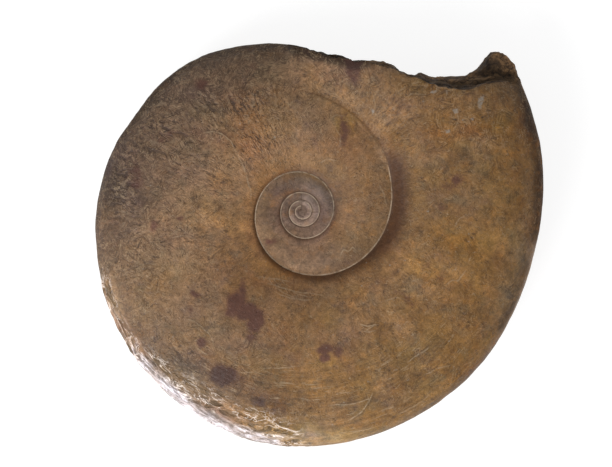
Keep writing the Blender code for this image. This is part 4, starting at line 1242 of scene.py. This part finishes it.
    # Stains and scuffs.
    ragged = g.add(stain, g.mul(g.sub(g.noise(moved(1, 1, 20), 8.0, 6.0, 0.72), 0.5), 1.5))
    stained = g.span(ragged, 0.22, 0.92)
    colour = g.mix(g.mul(g.mul(stained, g.span(stain, 0.0, 0.20)), 0.92), colour, g.shade(STAIN, g.mul(g.add(0.55, g.mul(crust, 0.85)), tone_light_and_shade_factor)))
    scuffed = g.add(scuff, g.mul(g.sub(g.noise(p, 1.6, 2.0), 0.5), 1.0))
    colour = g.mix(g.mul(g.mul(g.span(scuffed, 0.42, 0.85), g.span(scuff, 0.05, 0.3)), 0.60), colour, DUST)
    speck = g.cells(moved(50, 0, 0), 9.0)
    speck_here = g.span(speck.outputs["Distance"], 0.04, 0.085, 1.0, 0.0)
    colour = g.mix(g.mul(speck_here, g.mul(g.span(cloud, 0.45, 0.6), 0.45)), colour, DUST)

    # Crinkled sheets at the rim, with painted highlights on the pale crests and painted shade in the brown hollows.
    foil = g.noise(g.vector("MULTIPLY", q, (0.42, 0.42, 1.0)), 5.0, 4.0, 0.60, 0.8)
    fold = g.math("ABSOLUTE", g.sub(foil, 0.5))
    other = g.noise(g.vector("ADD", g.vector("MULTIPLY", q, (0.48, 0.48, 1.0)), (40.0, 7.0, 90.0)), 6.0, 3.0, 0.60, 0.8)
    foil_glint = g.math("MAXIMUM", g.span(fold, 0.004, 0.024, 1.0, 0.0), g.span(g.math("ABSOLUTE", g.sub(other, 0.5)), 0.003, 0.018, 0.9, 0.0))
    foil_hollow_shade = g.span(fold, 0.040, 0.095)
    colour = g.mix(g.mul(g.mul(foil_hollow_shade, crinkle), 0.80), colour, (0.072, 0.048, 0.022))
    glint = g.span(g.noise(g.vector("MULTIPLY", q, (0.5, 0.5, 1.0)), 7.0, 3.0, 0.6), 0.43, 0.54, 0.12, 1.0)
    colour = g.mix(g.mul(g.mul(foil_glint, crinkle), g.mul(glint, 0.97)), colour, (0.94, 0.88, 0.88))
    # Painted highlight: the lilac-white sheen of the lower left rim.
    painted_sheen_mix = g.math("ADD", painted_sheen, g.mul(g.mul(g.sub(crust, 0.5), painted_sheen), 2.4), clamp=True)
    painted_sheen_mix = g.mul(painted_sheen_mix, g.sub(1.0, g.mul(foil_hollow_shade, 0.62)))
    colour = g.mix(g.mul(painted_sheen_mix, g.add(0.35, g.mul(glint, 0.55))), colour, LILAC_SHEEN)

    # The broken face: dark rock with paler crumbs.
    rock = g.mix(g.span(g.noise(p, 7.0, 4.0, 0.65), 0.44, 0.62), ROCK, (0.200, 0.122, 0.064))
    rock = g.shade(rock, g.span(g.noise(p, 1.5, 3.0, 0.7), 0.3, 0.7, 0.50, 1.45, False))
    lean = g.add(ledge, g.mul(g.sub(blotch, 0.5), 0.55))
    # Painted light on the lips of the ledges, and painted shadow at their feet and in the step between them.
    lit_ledge_lip = g.mul(g.span(lean, 0.16, 0.34), g.span(lean, 0.62, 0.46))
    rock = g.mix(g.mul(lit_ledge_lip, 0.55), rock, (0.150, 0.100, 0.056))
    ledge_foot_shadow = g.lines(lean, 0.13, 0.075)
    rock = g.mix(g.mul(ledge_foot_shadow, 0.80), rock, (0.016, 0.011, 0.008))
    rock = g.mix(g.mul(g.lines(lean, 0.50, 0.055), 0.75), rock, (0.018, 0.012, 0.009))
    gash = g.lines(g.noise(g.vector("MULTIPLY", moved(3, 3, 3), (0.5, 0.5, 1.3)), 9.0, 2.0, 0.6), 0.5, 0.02)
    rock = g.mix(g.mul(gash, 0.70), rock, (0.014, 0.010, 0.008))
    rock = g.shade(rock, tone_light_and_shade_factor)
    broken_mix = g.math("ADD", broken_face, g.mul(g.sub(fleck, 0.5), 0.4), clamp=True)
    colour = g.mix(g.span(broken_mix, 0.25, 0.75), colour, rock)
    colour = g.vector("MULTIPLY", colour, (0.87, 0.805, 0.71))
    g.put(g.shader.inputs["Base Color"], colour)

    # Gloss: waxy where handled, duller in the grooves, the stains and the break.
    rough = g.add(0.50, g.mul(g.sub(g.noise(p, 3.0, 3.0, 0.6), 0.5), 0.35))
    rough = g.sub(rough, g.mul(painted_sheen, 0.16))
    rough = g.add(rough, g.mul(groove, 0.12))
    rough = g.add(rough, g.mul(broken_face, 0.3))
    rough = g.add(rough, g.mul(rim, 0.35))
    g.put(g.shader.inputs["Roughness"], g.math("MINIMUM", g.math("MAXIMUM", rough, 0.24), 0.95))
    g.shader.inputs["Metallic"].default_value = 0.0
    g.shader.inputs["IOR"].default_value = 1.5
    g.shader.inputs["Specular IOR Level"].default_value = 0.25

    # Relief too fine for the mesh, in mm.
    height = g.mul(grain, 0.09)
    height = g.add(height, g.mul(fleck, 0.32))
    height = g.add(height, g.mul(g.mul(strand, presence), 0.34))
    height = g.add(height, g.mul(crust, 0.42))
    height = g.sub(height, g.mul(groove, 0.24))
    height = g.add(height, g.mul(squiggle, 0.08))
    height = g.sub(height, g.mul(crack, 0.16))
    height = g.sub(height, g.mul(pit, 0.20))
    height = g.add(height, g.mul(g.mul(strands, fibre_here), 0.30))
    height = g.sub(height, g.mul(g.mul(fold, crinkle), 4.6))
    height = g.add(height, g.mul(g.mul(g.noise(p, 2.4, 4.0, 0.7), broken_face), 1.3))
    bump = g.new("ShaderNodeBump")
    bump.inputs["Strength"].default_value = 1.0
    bump.inputs["Distance"].default_value = 0.001
    g.put(bump.inputs["Height"], height)
    g.put(g.shader.inputs["Normal"], bump.outputs["Normal"])
    return g.material


ammonite = build_ammonite()
ammonite.data.materials.append(stone_material())
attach(ammonite, "root")
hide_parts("ammonite")
print("triangles", sum(len(f.vertices) - 2 for f in ammonite.data.polygons))

# ------------------------------------------------------------------ floor, light and camera
bpy.ops.mesh.primitive_plane_add(size=6.0, location=(0.0, 0.0, -0.0002))
floor = bpy.context.object
floor.name = "floor"
floor_paint = Graph("pale_floor")
floor_paint.shader.inputs["Base Color"].default_value = (0.28, 0.28, 0.28, 1.0)
floor_paint.shader.inputs["Roughness"].default_value = 0.9
floor_paint.shader.inputs["Specular IOR Level"].default_value = 0.1
floor_paint.shader.inputs["Emission Color"].default_value = (1.0, 1.0, 1.0, 1.0)
floor_paint.shader.inputs["Emission Strength"].default_value = 0.82
floor.data.materials.append(floor_paint.material)

world = bpy.data.worlds.new("soft_room")
world.use_nodes = True
sky = world.node_tree
sky.nodes["Background"].inputs["Color"].default_value = (0.97, 0.98, 1.0, 1.0)
sky.nodes["Background"].inputs["Strength"].default_value = 0.50
bpy.context.scene.world = world


def area_light(name, towards, distance, size, watts, colour=(1.0, 1.0, 1.0)):
    """A square soft light that shines on the object from a plan angle and a height angle, in degrees."""
    plan, high = (math.radians(v) for v in towards)
    light = bpy.data.lights.new(name, "AREA")
    light.shape = "RECTANGLE"
    light.size, light.size_y = size
    light.energy = watts
    light.color = colour
    obj = bpy.data.objects.new(name, light)
    obj.location = (
        distance * math.cos(high) * math.cos(plan),
        distance * math.cos(high) * math.sin(plan),
        distance * math.sin(high) + 0.03,
    )
    obj.rotation_euler = (Vector((0, 0, 0.03)) - obj.location).to_track_quat("-Z", "Y").to_euler()
    bpy.context.scene.collection.objects.link(obj)
    return obj


area_light("window", (228, 38), 2.6, (1.5, 1.1), 56.0, (1.0, 0.985, 0.96))
area_light("low_window", (231, 12), 1.5, (1.2, 0.45), 15.0, (0.92, 0.93, 1.0))
area_light("fill", (50, 50), 2.6, (1.8, 1.4), 6.0, (1.0, 0.99, 0.97))

camera = bpy.data.cameras.new("camera")
camera.sensor_width = 36.0
camera.lens = 150.0
camera.clip_end = 20.0
camera_object = bpy.data.objects.new("camera", camera)
bpy.context.scene.collection.objects.link(camera_object)
FRAME_WIDTH = 612 * 300.0 / 447 * MM  # what the picture's width covers at the height of the outline
camera_object.location = (-12.5 * 300.0 / 447 * MM, 11.5 * 300.0 / 447 * MM, 0.032 + FRAME_WIDTH * 150.0 / 36.0)
camera_object.rotation_euler = (0.0, 0.0, 0.0)
bpy.context.scene.camera = camera_object
bpy.context.scene.view_settings.view_transform = "Standard"
